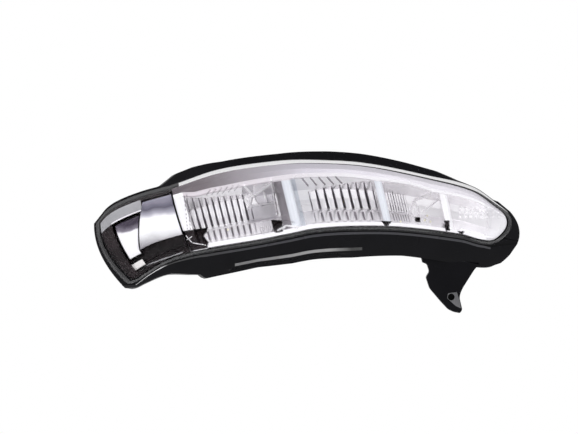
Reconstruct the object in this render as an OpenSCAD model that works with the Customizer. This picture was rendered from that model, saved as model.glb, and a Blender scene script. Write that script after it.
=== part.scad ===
// Door mirror turn signal lamp: a crescent lens over a metallised reflector, in a black housing with a bracket leg.
// X runs towards the car, Z is up and the lens faces -Y. The origin is the middle of the bracket's screw hole.

/* [Lens] */
// Length of the lens along X
lens_l = 209; // [190:1:225]
// Height from the lowest to the highest point of the lens edge
arch_h = 64; // [58:1:70]
// Wall of the lens
lens_wall = 2; // [1.5:0.1:2.4]
// How far the lens swells forward of its rim at mid length
lens_bulge = 13; // [11:0.5:16]
// How far the outer end of the rim is swept back
sweep_outer = 26; // [20:1:30]
// How far the inner end of the rim is swept back
sweep_inner = 10; // [7:1:13]

/* [Housing] */
// Wall of the housing tub
tub_wall = 2; // [1.6:0.1:2.6]
// Depth of the tub floor behind the foremost point of the rim
tub_depth = 24; // [22:0.5:30]
// Thickness of the flange round the lens
flange_t = 2.2; // [1.8:0.1:3]
// Width of the seat behind the lens edge
seat_w = 4.5; // [4:0.1:5.5]
// Height of the lip in front of the skirt
lip_h = 1.2; // [0.8:0.1:1.6]
// How far the skirt leans back where it is deepest
skirt_back = 5; // [3:0.5:7]
// How far the ledge stands out of the skirt
ledge_h = 1.5; // [0.8:0.1:2]
// Diameter of the locating pegs at the back
peg_d = 5; // [4:0.1:7]
// Length of the locating pegs
peg_l = 8; // [5:0.5:12]
// Height of the shoulder round each peg
peg_step = 1; // [0.8:0.1:2]

/* [Seal] */
// Height of the seal between lens and housing
seal_h = 0.6; // [0.4:0.1:1]
// Width of the seal
seal_w = 1.4; // [1:0.1:1.5]

/* [Reflector] */
// Where the reflector begins, from the outer end of the lens
reflector_x = 38.5; // [36:0.5:40]
// Thickness of the reflector behind its cells
reflector_wall = 1.5; // [1.2:0.1:2]
// Pitch of the flutes in the first cell
flute_a = 3; // [2.6:0.1:3.2]
// Pitch of the flutes in the second cell
flute_b = 4.2; // [3.8:0.1:4.4]
// Pitch of the flutes in the third cell
flute_c = 1.3; // [1.1:0.1:1.6]
// Height of the widest flutes
flute_h = 1.1; // [0.6:0.1:1.4]

/* [End window] */
// Depth of the tray behind the rim
tray_depth = 3.5; // [3:0.1:4.5]
// Thickness of the tray floor
tray_wall = 1.2; // [1:0.1:1.6]
// Thickness of the light guide blocks
guide_t = 7; // [5:0.5:8]

/* [Boards] */
// Thickness of the circuit boards
board_t = 1.6; // [1.2:0.1:1.8]
// Length of a lamp package
led_l = 3.5; // [3:0.1:4]
// Width of a lamp package
led_w = 2.8; // [2.4:0.1:3.2]
// Height of a lamp package
led_h = 1.9; // [1.6:0.1:2.1]
// Diameter of the board screws
screw_d = 2.5; // [2:0.1:3]
// Height of a board screw's head
head_h = 1.2; // [1:0.1:1.3]
// Length of a board screw's shank
screw_l = 6; // [5:0.5:6.5]

/* [Connector] */
// Width of the connector shell along X
plug_w = 16; // [14:0.5:20]
// Height of the connector shell along Z
plug_h = 9; // [8:0.5:11]
// Wall of the connector shell
plug_wall = 1.6; // [1.2:0.1:2]
// How far the shell stands out of the tub's back
plug_out = 10; // [9:0.5:14]
// Thickness of the contact pins
pin_t = 0.8; // [0.6:0.1:1]

/* [Vent] */
// Diameter of the vent cap
vent_d = 10; // [8:0.5:12]
// Height of the vent cap
vent_h = 3.5; // [3:0.1:5]

/* [Bracket] */
// Length of the leg below the skirt
leg_l = 28; // [24:0.5:32]
// Width of the leg where it leaves the skirt
leg_w = 28; // [25:0.5:30]
// Depth of the leg from front to back
leg_t = 9; // [8:0.5:10]
// Wall of the leg
leg_wall = 2.2; // [1.8:0.1:2.6]
// Diameter of the blind screw hole in the foot
hole_d = 3.4; // [3:0.1:4.2]
// Depth of the screw hole
hole_depth = 7; // [5:0.5:7.5]
// Distance of the screw hole from the inner end of the lens
hole_in = 30.5; // [29:0.5:33]
// Distance of the screw hole below the skirt
hole_down = 17.5; // [16.5:0.5:18.5]

/* [Fits] */
// Clearance between the lens and what lies inside it
inner_gap = 0.4; // [0.3:0.05:0.6]
// Clearance between parts that sit beside each other
side_gap = 0.3; // [0.2:0.05:0.4]
// Clearance round a screw's shank in its pilot hole
screw_gap = 0.1; // [0.05:0.05:0.2]

/* [Hidden] */

// Edge shapes of the lens: shares of its length against shares of its height
TOP_EDGE = [[0, -0.05], [0.026, 0.053], [0.055, 0.116], [0.112, 0.189], [0.179, 0.25], [0.294, 0.375],
            [0.442, 0.445], [0.528, 0.453], [0.648, 0.428], [0.801, 0.327], [0.906, 0.233], [0.964, 0.105],
            [0.995, 0.025]];
BOTTOM_EDGE = [[0.07, -0.519], [0.085, -0.527], [0.1, -0.512], [0.122, -0.465], [0.169, -0.375],
               [0.227, -0.313], [0.279, -0.28], [0.385, -0.223], [0.466, -0.172], [0.528, -0.131],
               [0.619, -0.111], [0.732, -0.117], [0.875, -0.172], [0.921, -0.213], [0.947, -0.22], [0.966, -0.2]];
// How far the foot of each station lies towards the car from its head, as a share of the arch's height
LEAN = [[0, 0.25], [0.2, 0.148], [0.5, 0.125], [0.8, 0.094], [0.93, 0.047], [1, -0.062]];
// Height of the black flange above the lens and of the skirt below it, along the lens
FLANGE = [[0, 1], [0.145, 0.8], [0.182, 4.6], [0.222, 4.8], [0.294, 3.2], [0.442, 3.1], [0.56, 3.9],
          [0.658, 3.8], [0.753, 3.5], [0.825, 2.8], [0.878, 0.7],
          [0.915, 0.3], [0.975, 0.4], [1, 2.2]];
SKIRT = [[0.07, 2], [0.13, 4], [0.169, 5.4], [0.217, 8.6], [0.243, 9.8], [0.253, 12.2], [0.313, 11.6],
         [0.385, 10.8], [0.471, 12.2], [0.619, 12.9], [0.746, 11.5], [0.873, 12.3], [0.923, 11.6], [0.966, 10.6]];
// Height of the tub floor behind the rim's foremost point, against the length, as a share of the tub's depth
FLOOR = [[0, 1.4], [0.1, 1.22], [0.25, 1.03], [0.35, 1], [0.5, 1], [1, 1]];

CROWN = 0.54;      // share of the length at which the rim lies foremost
SWEEP_POWER = 2.2; // how suddenly the rim sweeps back
TIP = 0.988;       // share of the length reached by the top edge at the inner end
FULL_OUTER = 4.2;  // how far the outer end bows out
FULL_INNER = 4;    // how far the inner end bows out
LENS_ROUND = 2.6;  // roundness of the lens across its width
TUB_ROUND = 5;     // roundness of the tub across its width
END_ROUND = 10;    // roundness of lens and tub at their ends
DEEPEST = 12;      // skirt height at which it leans back fully

// Straight and smooth interpolation
function mix(a, b, t) = a + (b - a) * t;
function seg(p, x, i = 0) = i >= len(p) - 2 || x < p[i + 1][0] ? i : seg(p, x, i + 1);
function grade(p, i) =
    let (a = max(0, i - 1), b = min(len(p) - 1, i + 1))
    (p[b][1] - p[a][1]) / (p[b][0] - p[a][0]);
function curve(p, x) =
    let (i = seg(p, x),
         h = p[i + 1][0] - p[i][0],
         t = max(0, min(1, (x - p[i][0]) / h)),
         inside = (2 * pow(t, 3) - 3 * t * t + 1) * p[i][1] + (pow(t, 3) - 2 * t * t + t) * h * grade(p, i)
                + (3 * t * t - 2 * pow(t, 3)) * p[i + 1][1] + (pow(t, 3) - t * t) * h * grade(p, i + 1),
         outside = x < p[i][0] ? (x - p[i][0]) * grade(p, i) : max(0, x - p[i + 1][0]) * grade(p, i + 1))
    inside + outside;
function line(p, x) = let (i = seg(p, x), t = (x - p[i][0]) / (p[i + 1][0] - p[i][0])) mix(p[i][1], p[i + 1][1], t);
function sum(p, n) = n <= 0 ? 0 : p[n - 1] + sum(p, n - 1);
function swell(t, n) = pow(max(0, 1 - pow(abs(2 * t - 1), n)), 1 / n);

// The lamp's own outline
tip_x = lens_l * TIP;
function top_z(x) = arch_h * curve(TOP_EDGE, x / lens_l);
function bottom_z(x) = arch_h * curve(BOTTOM_EDGE, x / lens_l);
function flange_h(x) = line(FLANGE, x / lens_l);
function skirt_h(x) = line(SKIRT, max(SKIRT[0][0], x / lens_l));
function floor_y(x) = tub_depth * curve(FLOOR, x / lens_l);
function rim_y(x) =
    let (f = x / lens_l)
    f < CROWN ? sweep_outer * pow((CROWN - f) / CROWN, SWEEP_POWER)
              : sweep_inner * pow((f - CROWN) / (1 - CROWN), SWEEP_POWER);
// Point of the outline at station u and height v, with each side moved outwards by its own amount: [x, z]
function at(u, v, outer = 0, inner = 0, up = 0, down = 0, extra = 0) =
    let (x0 = mix(-outer, tip_x + inner, u),
         x1 = x0 + arch_h * curve(LEAN, u),
         z0 = top_z(x0) + up,
         z1 = bottom_z(x1) - down,
         bow = 4 * v * (1 - v) * ((FULL_INNER + extra) * pow(u, 16) - FULL_OUTER * pow(1 - u, 8)))
    [mix(x0, x1, v) + bow, mix(z0, z1, v)];
function bulge(u) = lens_bulge * (0.72 + 0.28 * sin(180 * u));

// Solid between a front and a back skin, each a grid of columns of points; the four sides are zipped shut.
// Columns run towards +X and their points run downwards.
// A square is split from its upper outer to its lower inner corner, but at the other two corners of the grid the
// other way, so that no triangle lies flat on the rim.
function grid(g, base) = let (r = len(g[0]), n = len(g) - 2) [for (i = [0:n], j = [0:r - 2], k = [0:1])
    let (a = base + i * r + j, other = (i == 0 && j == r - 2) || (i == n && j == 0))
    k == 0 ? [a, a + r, other ? a + 1 : a + r + 1] : [other ? a + r : a, a + r + 1, a + 1]];
function zip(a, b, ta, tb, i = 0, j = 0) =
    i == len(a) - 1 && j == len(b) - 1 ? [] :
    j == len(b) - 1 || (i < len(a) - 1 && ta[i + 1] <= tb[j + 1])
        ? concat([[a[i], b[j], a[i + 1]]], zip(a, b, ta, tb, i + 1, j))
        : concat([[a[i], b[j], b[j + 1]]], zip(a, b, ta, tb, i, j + 1));
function flip(f) = [for (t = f) [t[0], t[2], t[1]]];
module skins(front, back, uf, ub, vf, vb) {
    nf = len(front) - 1;
    nb = len(back) - 1;
    rf = len(vf);
    rb = len(vb);
    base = (nf + 1) * rf;
    points = concat([for (c = front, p = c) p], [for (c = back, p = c) p]);
    top = zip([for (i = [0:nf]) i * rf], [for (i = [0:nb]) base + i * rb], uf, ub);
    low = zip([for (i = [0:nf]) i * rf + rf - 1], [for (i = [0:nb]) base + i * rb + rb - 1], uf, ub);
    outer = zip([for (j = [0:rf - 1]) j], [for (j = [0:rb - 1]) base + j], vf, vb);
    inner = zip([for (j = [0:rf - 1]) nf * rf + j], [for (j = [0:rb - 1]) base + nb * rb + j], vf, vb);
    polyhedron(points, concat(grid(front, 0), flip(grid(back, base)), top, flip(low), flip(outer), inner));
}
// Stations that lie closer together towards both ends
function spread(n, ends) = [for (i = [0:n]) let (t = i / n) mix(t, (1 - cos(180 * t)) / 2, ends)];

// Plate or block cut from an outline in X and Z, from one depth to another
module slab(y0, y1, outline) {
    translate([0, y1, 0]) rotate([90, 0, 0]) linear_extrude(y1 - y0) polygon(outline);
}
// Cylinder along Y, from one depth to another
module rod(x, z, y0, y1, d) {
    translate([x, y1, z]) rotate([90, 0, 0]) cylinder(h = y1 - y0, d = d, $fn = 48);
}
module block(x, z, y0, y1, w, h) {
    translate([x - w / 2, y0, z - h / 2]) cube([w, y1 - y0, h]);
}

LENS_U = spread(34, 0.85);
LENS_V = spread(10, 1);
function lens_skin(inset) = [for (u = LENS_U) [for (v = LENS_V)
    let (p = at(u, v, -inset, -inset, -inset, -inset))
    [p[0], rim_y(p[0]) - (bulge(u) - inset) * swell(u, END_ROUND) * swell(v, LENS_ROUND), p[1]]]];

// Where the foot's screw hole lies in the lamp's outline
hole_x = lens_l - hole_in;
leg_top = bottom_z(hole_x) - skirt_h(hole_x);
hole_z = leg_top - hole_down;
leg_y = rim_y(hole_x) + skirt_back;
module placed() {
    translate([-hole_x, -leg_y, -hole_z]) children();
}

module outer_lens() {
    color("lightcyan", 0.4) placed() skins(lens_skin(0), lens_skin(lens_wall), LENS_U, LENS_U, LENS_V, LENS_V);
}

// Closed bead that follows the lens edge
module lens_seal() {
    g0 = (lens_wall - seal_w) / 2;
    n = len(LENS_U) - 1;
    m = len(LENS_V) - 1;
    loop = concat([for (i = [0:n]) [LENS_U[i], 0]], [for (j = [1:m]) [1, LENS_V[j]]],
                  [for (i = [1:n]) [LENS_U[n - i], 1]], [for (j = [1:m - 1]) [0, LENS_V[m - j]]]);
    count = len(loop);
    points = [for (p = loop, k = [0:3])
        let (g = k == 0 || k == 3 ? -g0 : -g0 - seal_w, q = at(p[0], p[1], g, g, g, g))
        [q[0], rim_y(q[0]) + (k < 2 ? 0 : seal_h), q[1]]];
    faces = [for (i = [0:count - 1], k = [0:3])
        let (j = (i + 1) % count, l = (k + 1) % 4) [i * 4 + k, j * 4 + k, j * 4 + l, i * 4 + l]];
    color("dimgray") placed() polyhedron(points, faces);
}

TUB_U = spread(34, 0.85);
TUB_V = [0.02, 0.07, 0.16, 0.33, 0.5, 0.67, 0.84, 0.93, 0.98];
EDGE_FLANGE = 1;  // width of the flange round the outer end, and of its corners at the inner end
END_FLANGE = 3.2; // how much further the flange bows out than the lens at the inner end
// Columns of the housing: station, and whether it is the flange's own edge
TUB_COLUMNS = concat([[0, true]], [for (u = TUB_U) [u, false]], [[1, true]]);
TUB_TIMES = concat([-0.1], TUB_U, [1.1]);
// Shares of the skirt's height at which its front bends, with the ledge between the second and third
BENDS = [[0, 0], [0.5, 0], [0.54, 1], [0.72, 1], [0.76, 0], [1, 0]];
LIP = 0.3; // how far below the lens the lip stands
END_LIP = 1; // the same at either end
END_RUN = 8; // length over which the tub's lower edge comes in towards the seat at either end
// The ledge fades in at its outer end and stops short at its inner end
LEDGE = [[0.3, 0.05], [0.33, 1], [0.44, 1], [0.6, 0.7], [0.62, 0.05], [1, 0.05]];
function ledge(x) = ledge_h * line(LEDGE, max(0.3, x / lens_l));
function skirt_y(x, s) = mix(-lip_h, skirt_back * skirt_h(x) / DEEPEST, s) - seal_h;

// Flange edge at either end: a column that runs the whole way from the top of the flange to the foot of the skirt
function end_point(u, v, skirt) =
    at(u, v, EDGE_FLANGE, EDGE_FLANGE, flange_h(at(u, 0)[0]), skirt + LIP, END_FLANGE);
function lens_share(u, skirt) =
    let (a = end_point(u, 0, skirt), b = end_point(u, 1, skirt)) 1 - (skirt + LIP - END_LIP) / (a[1] - b[1]);

// Inside of the housing: seat, tub and then the front of the skirt
function cavity_column(c) =
    let (u = c[0],
         deep = swell(u, END_ROUND),
         skirt = skirt_h(at(u, 1)[0]),
         low = min(1, u * lens_l / END_RUN, (1 - u) * lens_l / END_RUN),
         drop = mix(-seat_w - 0.4, skirt - 1.5 * tub_wall, low),
         lip = mix(END_LIP, LIP, low),
         share = lens_share(u, skirt),
         rows = c[1] ? concat(
             [for (v = concat([-0.06, 0], TUB_V, [1, 1.01, 1.02])) [mix(0.05, share - 0.05, v), 0]],
             [[share - 0.005, 0], [share, skirt_y(lens_l, 0)]],
             [for (s = BENDS) [mix(share + 0.004, 1, s[0]), skirt_y(at(u, 1)[0], s[0])]])
         : concat(
             [[0, flange_h(at(u, 0)[0]), 0, 0, 0], [0, -seat_w, 0, 0, 0]],
             [for (v = TUB_V) [v, -seat_w, drop, swell(v, TUB_ROUND) * deep, 0]],
             [[1, -seat_w, drop, 0, mix(0.4, flange_t + skirt_back * skirt / DEEPEST, low)],
              [1, -seat_w, -seat_w, 0, mix(0.2, flange_t, low)],
              [1, -seat_w, -seat_w, 0, 0],
              [1, -seat_w, lip, 0, 0],
              [1, -seat_w, lip, 0, skirt_y(lens_l, 0)]],
             [for (s = BENDS)
                 [1, -seat_w, lip + mix(0.1, 1, s[0]) * (skirt + LIP - lip), 0,
                  skirt_y(at(u, 1)[0], s[0]) - s[1] * ledge(at(u, 1)[0])]]))
    [for (r = rows)
        let (p = c[1] ? end_point(u, r[0], skirt) : at(u, r[0], -seat_w, -seat_w, r[1], r[2]),
             y0 = rim_y(p[0]) + seal_h)
        [p[0], c[1] ? y0 + r[1] : mix(y0, floor_y(p[0]), r[3]) + r[4], p[1]]];

// Outside of the housing: back of the flange, tub and back of the skirt
function outside_column(c) =
    let (u = c[0],
         deep = swell(u, END_ROUND),
         skirt = skirt_h(at(u, 1)[0]),
         share = lens_share(u, skirt),
         back = skirt_back * skirt / DEEPEST,
         rows = c[1] ? concat([for (v = concat([-0.06, 0], TUB_V)) [mix(0.05, share - 0.05, v)]], [[share], [1]])
         : concat(
             [[0, flange_h(at(u, 0)[0]), 0, 0], [0, -lens_wall, 0, 0]],
             [for (v = TUB_V) [v, -lens_wall, skirt - 0.5, swell(v, TUB_ROUND) * deep]],
             [[1, -lens_wall, skirt - 0.5, 0], [1, -lens_wall, skirt + LIP, 0]]))
    [for (r = rows)
        let (p = c[1] ? end_point(u, r[0], skirt) : at(u, r[0], -lens_wall, -lens_wall, r[1], r[2]),
             y0 = rim_y(p[0]) + seal_h + flange_t + r[0] * back)
        [p[0], c[1] ? y0 : mix(y0, floor_y(p[0]) + tub_wall, r[3]), p[1]]];

CAVITY_V = concat([-0.1, 0], TUB_V, [for (k = [0:10]) 1 + 0.018 * k]);
OUTSIDE_V = concat([-0.1, 0], TUB_V, [1.06, 1.18]);

// Board plane and the places of what it carries
BOARD_BACK = 7; // from the board's face to the floor of the tub
board_y = tub_depth - BOARD_BACK;
cell_y = board_y - led_h - reflector_wall + 0.4;
BOARD_X0 = 0.285;
BOARD_X1 = 0.915;
function spot(f, v) = at(f, v);
BOARD_SCREWS = [for (f = [0.34, 0.6, 0.87]) spot(f, 0.5)];
back_y = tub_depth + tub_wall;
PEGS = [for (f = [0.37, 0.86]) spot(f, 0.36)];
plug_at = spot(0.7, 0.45);
vent_at = spot(0.46, 0.45);
SHOULDER_W = 2;
BOSS_WALL = 1.75;
boss_d = screw_d + 2 * BOSS_WALL;
VENT_HOLE = 3;

// Board of the end window: it stands square to the swept rim there
end_at = at(0.125, 0.45);
end_turn = atan((rim_y(end_at[0] - 1) - rim_y(end_at[0] + 1)) / 2);
end_gap = tray_depth + tray_wall + led_h;
END_SCREWS = [[-5.5, 6.5], [5.5, -6.5]];
END_BOARD_W = 15;
END_BOARD_H = 18;
// Place of a point of the end board, along it and back from its front face: [x, y]
function board_point(a, b) = [end_at[0] + a * cos(end_turn) + b * sin(end_turn),
                              rim_y(end_at[0]) + end_gap - a * sin(end_turn) + b * cos(end_turn)];
// Where a boss behind it meets the middle of the tub's floor
function boss_end(a) =
    let (p = board_point(a, floor_y(end_at[0]) / 3))
    (floor_y(p[0]) + tub_wall / 2 - board_point(a, 0)[1]) / cos(end_turn);
module at_end() {
    translate([end_at[0], rim_y(end_at[0]) + end_gap, end_at[1]]) rotate([0, 0, -end_turn]) children();
}

// Shape of the leg: shares of its width across and of its length downwards, from one side round to the other
LEG_OUTER = [[-0.53, 0], [-0.43, 0.04], [-0.39, 0.17], [-0.45, 0.27], [-0.385, 0.47]];
LEG_FOOT = [[-0.2, 0.69], [-0.05, 0.85], [0.04, 0.89], [0.16, 0.915], [0.2, 0.85], [0.15, 0.64], [0.165, 0.56]];
LEG_INNER = [[0.21, 0.46], [0.32, 0.285], [0.42, 0.13]];
// The root of the leg runs just inside the bottom of the housing
LEG_ROOT = [0.5, 0.3, 0, -0.3, -0.55];
ROOT_IN = 1.5;
leg_root = [for (f = LEG_ROOT) let (x = hole_x + f * leg_w) [x, bottom_z(x) - skirt_h(x) + ROOT_IN]];
function leg_point(p) = [hole_x + p[0] * leg_w, leg_top - p[1] * leg_l];
// What the hollow behind the leg follows: neither the foot nor the first corner
leg_hollow = concat([for (i = [1:4]) leg_point(LEG_OUTER[i])], [for (p = LEG_INNER) leg_point(p)],
                    [leg_root[4]]);
// Outline moved inwards by a wall
function unit(v) = v / norm(v);
function inset(p, d) = let (n = len(p)) [for (i = [0:n - 1])
    let (s = unit(p[i] - p[(i + n - 1) % n]) + unit(p[(i + 1) % n] - p[i]))
    p[i] + d * [-s[1], s[0]] / (norm(s) * norm(s) / 2)];
module leg() {
    difference() {
        slab(leg_y, leg_y + leg_t,
             concat([for (p = concat(LEG_OUTER, LEG_FOOT, LEG_INNER)) leg_point(p)], leg_root));
        slab(leg_y + leg_wall, leg_y + leg_t + 1, inset(leg_hollow, leg_wall));
    }
}

module housing() {
    color([0.07, 0.07, 0.08]) placed() difference() {
        union() {
            skins([for (c = TUB_COLUMNS) cavity_column(c)], [for (c = TUB_COLUMNS) outside_column(c)],
                  TUB_TIMES, TUB_TIMES, CAVITY_V, OUTSIDE_V);
            leg();
            for (p = BOARD_SCREWS) rod(p[0], p[1], board_y + board_t, tub_depth + 0.5, boss_d);
            at_end() for (p = END_SCREWS) rod(p[0], p[1], board_t, boss_end(p[0]), boss_d);
            for (p = PEGS) {
                rod(p[0], p[1], tub_depth + 0.5, back_y + peg_step, peg_d + 2 * SHOULDER_W);
                rod(p[0], p[1], tub_depth + 0.5, back_y + peg_step + peg_l, peg_d);
            }
        }
        for (p = BOARD_SCREWS) rod(p[0], p[1], board_y, tub_depth + 0.5, screw_d + 2 * screw_gap);
        at_end() for (p = END_SCREWS) rod(p[0], p[1], 0, screw_l + 1, screw_d + 2 * screw_gap);
        rod(vent_at[0], vent_at[1], tub_depth - 1, back_y + 1, VENT_HOLE);
        block(plug_at[0], plug_at[1], tub_depth - 3, back_y + 1, plug_w + 2 * side_gap, plug_h + 2 * side_gap);
        rod(hole_x, hole_z, leg_y - 1, leg_y + hole_depth, hole_d);
    }
}

// Lined-up insides of the lens: station and height of a point that lies a set way inside its edge
inset_w = lens_wall + inner_gap;
function station(x) = (x - inset_w) / (tip_x - 2 * inset_w);
function within(x, v) = at(station(x), v, -inset_w, -inset_w, -inset_w, -inset_w);
function height(x) = let (a = within(x, 0), b = within(x, 1)) a[1] - b[1];
SEAT_AIR = 0.05;
// Room in front of the rim, as a share of that at mid length
function room(x) =
    let (u = max(0, min(1, station(x))))
    (bulge(u) - lens_wall) / (lens_bulge - lens_wall) * swell(u, END_ROUND);
seat_y = seal_h - SEAT_AIR;
seat_in = seat_w - inset_w + 0.2;
// Rows of a back skin: a flat edge on the seat, then down to the full depth
function back_rows(x) =
    let (e = seat_in / height(x))
    [[0, 0], [e, 0], [mix(e, 0.5, 0.2), 0.5], [mix(e, 0.5, 0.4), 1], [0.5, 1], [mix(1 - e, 0.5, 0.4), 1],
     [mix(1 - e, 0.5, 0.2), 0.5], [1 - e, 0], [1, 0]];
BACK_V = [0, 0.07, 0.17, 0.25, 0.5, 0.75, 0.83, 0.93, 1];

// Reflector: widths of its pillars in turn from the outer end, and shares of the rest that its cells take
PILLAR_W = [5, 8.4, 3.8, 3.7];
CELL_SHARES = [0.304, 0.291, 0.199, 0.206];
STRIP_W = 4.2;  // sloping side of the second pillar
WALL_W = 0.8;   // side walls of the cells
PILLAR_H = 1.4; // how far a pillar swells
PILLAR_STEPS = [0.25, 0.5, 0.75];
FLUTE_STEPS = 3;
reflector_end = tip_x - inset_w;
CELL_W = [for (s = CELL_SHARES) s * (reflector_end - reflector_x - sum(PILLAR_W, 4))];
function pillar_x(i) = reflector_x + sum(PILLAR_W, i) + sum(CELL_W, i);
function cell_x(i) = pillar_x(i) + PILLAR_W[i];
function cell_end(i) = i < 3 ? pillar_x(i + 1) : reflector_end;
// Fluted stretches: where they begin, how many flutes, their pitch, and their height as a share of the widest
PLAIN_W = 7.5; // smooth start of the second cell
FLUTED = [0.7, 1, 0.4]; // share of each cell that is fluted
FLUTES = [[cell_x(0) + WALL_W, floor(FLUTED[0] * CELL_W[0] / flute_a), flute_a, 0.8],
          [cell_x(1) + PLAIN_W, floor((CELL_W[1] - PLAIN_W - 2 * WALL_W) / flute_b), flute_b, 1],
          [cell_x(2) + WALL_W, floor(FLUTED[2] * CELL_W[2] / flute_c), flute_c, 0.4]];
function flute_end(i) = FLUTES[i][0] + FLUTES[i][1] * FLUTES[i][2];
REFLECTOR_X = concat(
    [for (i = [0:3]) each concat(
        [pillar_x(i)],
        i == 1 ? [for (k = [0:4]) pillar_x(1) + STRIP_W + k * (PILLAR_W[1] - STRIP_W) / 4]
               : concat([for (t = PILLAR_STEPS) pillar_x(i) + t * PILLAR_W[i]], [cell_x(i)]),
        i == 1 ? [for (t = [0, 0.33, 0.66]) mix(cell_x(1) + WALL_W, FLUTES[1][0], t)] : [],
        i < 3 ? concat([for (k = [0:FLUTES[i][1] * FLUTE_STEPS]) FLUTES[i][0] + k * FLUTES[i][2] / FLUTE_STEPS],
                       [for (x = [flute_end(i) + 3 : 4 : cell_end(i) - 2 * WALL_W]) x])
              : [],
        i == 0 || i == 3 ? [] : [cell_end(i) - WALL_W])],
    [for (t = [0.03, 0.25, 0.5, 0.7, 0.82, 0.9, 0.96, 1]) mix(cell_x(3), reflector_end, t)]);
// How far the surface follows the cells' depth instead of the frame round them
DEPTH_ALONG = [
    [pillar_x(0), 0], [cell_x(0), 0], [cell_x(0) + WALL_W, 1], [pillar_x(1), 1], [pillar_x(1) + STRIP_W, 0],
    [cell_x(1), 0], [cell_x(1) + WALL_W, 1], [pillar_x(2) - WALL_W, 1], [pillar_x(2), 0],
    [cell_x(2), 0], [cell_x(2) + WALL_W, 1], [pillar_x(3) - WALL_W, 1], [pillar_x(3), 0],
    [cell_x(3), 0], [mix(cell_x(3), reflector_end, 0.03), 0.7], [mix(cell_x(3), reflector_end, 0.7), 0.5],
    [mix(cell_x(3), reflector_end, 0.9), 0], [reflector_end, 0]];
function bump(x) =
    x < cell_x(0) ? sin(180 * (x - pillar_x(0)) / PILLAR_W[0]) :
    x > pillar_x(1) + STRIP_W && x < cell_x(1) ? sin(180 * (x - pillar_x(1) - STRIP_W) / (PILLAR_W[1] - STRIP_W)) :
    x > pillar_x(2) && x < cell_x(2) ? sin(180 * (x - pillar_x(2)) / PILLAR_W[2]) :
    x > pillar_x(3) && x < cell_x(3) ? sin(180 * (x - pillar_x(3)) / PILLAR_W[3]) : 0;
function fluting(x) = flute_h * max([for (i = [0:2])
    x > FLUTES[i][0] && x < flute_end(i) ? FLUTES[i][3] * abs(sin(180 * (x - FLUTES[i][0]) / FLUTES[i][2])) : 0]);
// Rows of the front: height, how far forward the frame stands, share of the cell's depth, share of the fluting
FRONT_ROWS = [
    [0, 0.8, 0, 0], [0.035, 2.2, 0, 0], [0.08, 4.2, 0, 0], [0.145, 5, 0, 0], [0.152, 5.8, 0, 0],
    [0.205, 5.8, 0, 0], [0.215, 5, 0.05, 0], [0.3, 4.6, 0.5, 0], [0.4, 4.4, 0.93, 1], [0.55, 4.2, 1, 1],
    [0.715, 4.2, 0.95, 1], [0.735, 4.2, 0.8, 1], [0.905, 4.4, 0.15, 0.7], [0.925, 4.5, 0, 0],
    [0.985, 3.6, 0, 0], [1, 0.8, 0, 0]];
function reflector_column(x) = [for (r = FRONT_ROWS)
    let (p = within(x, r[0]),
         edge = x == reflector_x ? 0.2 : 1,
         frame = rim_y(p[0]) - (r[1] + (r[2] > 0 ? PILLAR_H * bump(x) : 0)) * room(x) * edge,
         depth = r[2] * line(DEPTH_ALONG, x))
    [p[0], mix(frame, cell_y, depth) - r[3] * fluting(x), p[1]]];
function reflector_back(x, share) = [for (r = back_rows(x))
    let (p = within(x, r[0])) [p[0], mix(rim_y(p[0]) + seat_y, cell_y + reflector_wall, r[1] * share), p[1]]];
// Where the back leaves the seats at its outer and inner ends
SIDE_RUN = 1.5;
END_RUN_IN = [5, 3];
LED_SHARES = [0.48, 0.54, 0.47, 0.35]; // where in its cell each lamp sits
LED_SPOTS = [for (i = [0:3]) within(cell_x(i) + LED_SHARES[i] * CELL_W[i], 0.64)];

module reflector() {
    back_x = concat([reflector_x, reflector_x + SIDE_RUN],
                    [for (t = [0.04:0.04:0.93]) mix(reflector_x, reflector_end, t)],
                    [for (d = END_RUN_IN) reflector_end - seat_in - d], [reflector_end]);
    last = len(back_x) - 1;
    color("gainsboro") placed() difference() {
        skins([for (x = REFLECTOR_X) reflector_column(x)],
              [for (i = [0:last]) reflector_back(back_x[i], i == 0 || i > last - 2 ? 0 : 1)],
              REFLECTOR_X, back_x, [for (r = FRONT_ROWS) r[0]], BACK_V);
        for (p = LED_SPOTS)
            block(p[0], p[1], cell_y - 2, cell_y + 3, led_l + 2 * side_gap, led_w + 2 * side_gap);
    }
}

// Tray of the end window: rows give height, forward stand, and share of depth beside and within the guide's bay
BAY_X = 23;
tray_end = reflector_x - side_gap;
TRAY_ROWS = [
    [0, 0.8, 0, 0], [0.04, 1.5, 0, 0], [0.085, 2.2, 0, 0], [0.115, 2.5, 0, 0], [0.135, 2.5, 0, 1], [0.2, 3.4, 0, 1],
    [0.23, 3.4, 1, 1], [0.5, 3.4, 1, 1], [0.8, 3.4, 1, 1], [0.865, 3, 1, 1], [0.885, 2.2, 0, 0], [0.93, 1.5, 0, 0],
    [1, 0.8, 0, 0]];
TRAY_EDGE = [1.2, 4.8, 5.8]; // steps of its bezel from the outer end
TRAY_SHELF = [1.9, 1.2];     // steps of its shelf edge before the inner end
BAY_STEP = 0.6;
TRAY_X = concat([inset_w], [for (d = TRAY_EDGE) inset_w + d], [12, 17, BAY_X - BAY_STEP, BAY_X, 28, 33],
                [for (d = TRAY_SHELF) tray_end - d], [tray_end]);
TRAY_FLOOR_X = [2, 3.2]; // where its floor leaves the seat, and where it is full depth
function tray_back_rows(x) =
    let (e = seat_in / height(x), low = e + 0.015)
    [[0, 0], [e, 0], [e + 0.025, 1], [0.25, 1], [0.5, 1], [0.75, 1], [1 - low - 0.02, 1], [1 - low, 0], [1, 0]];
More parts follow.
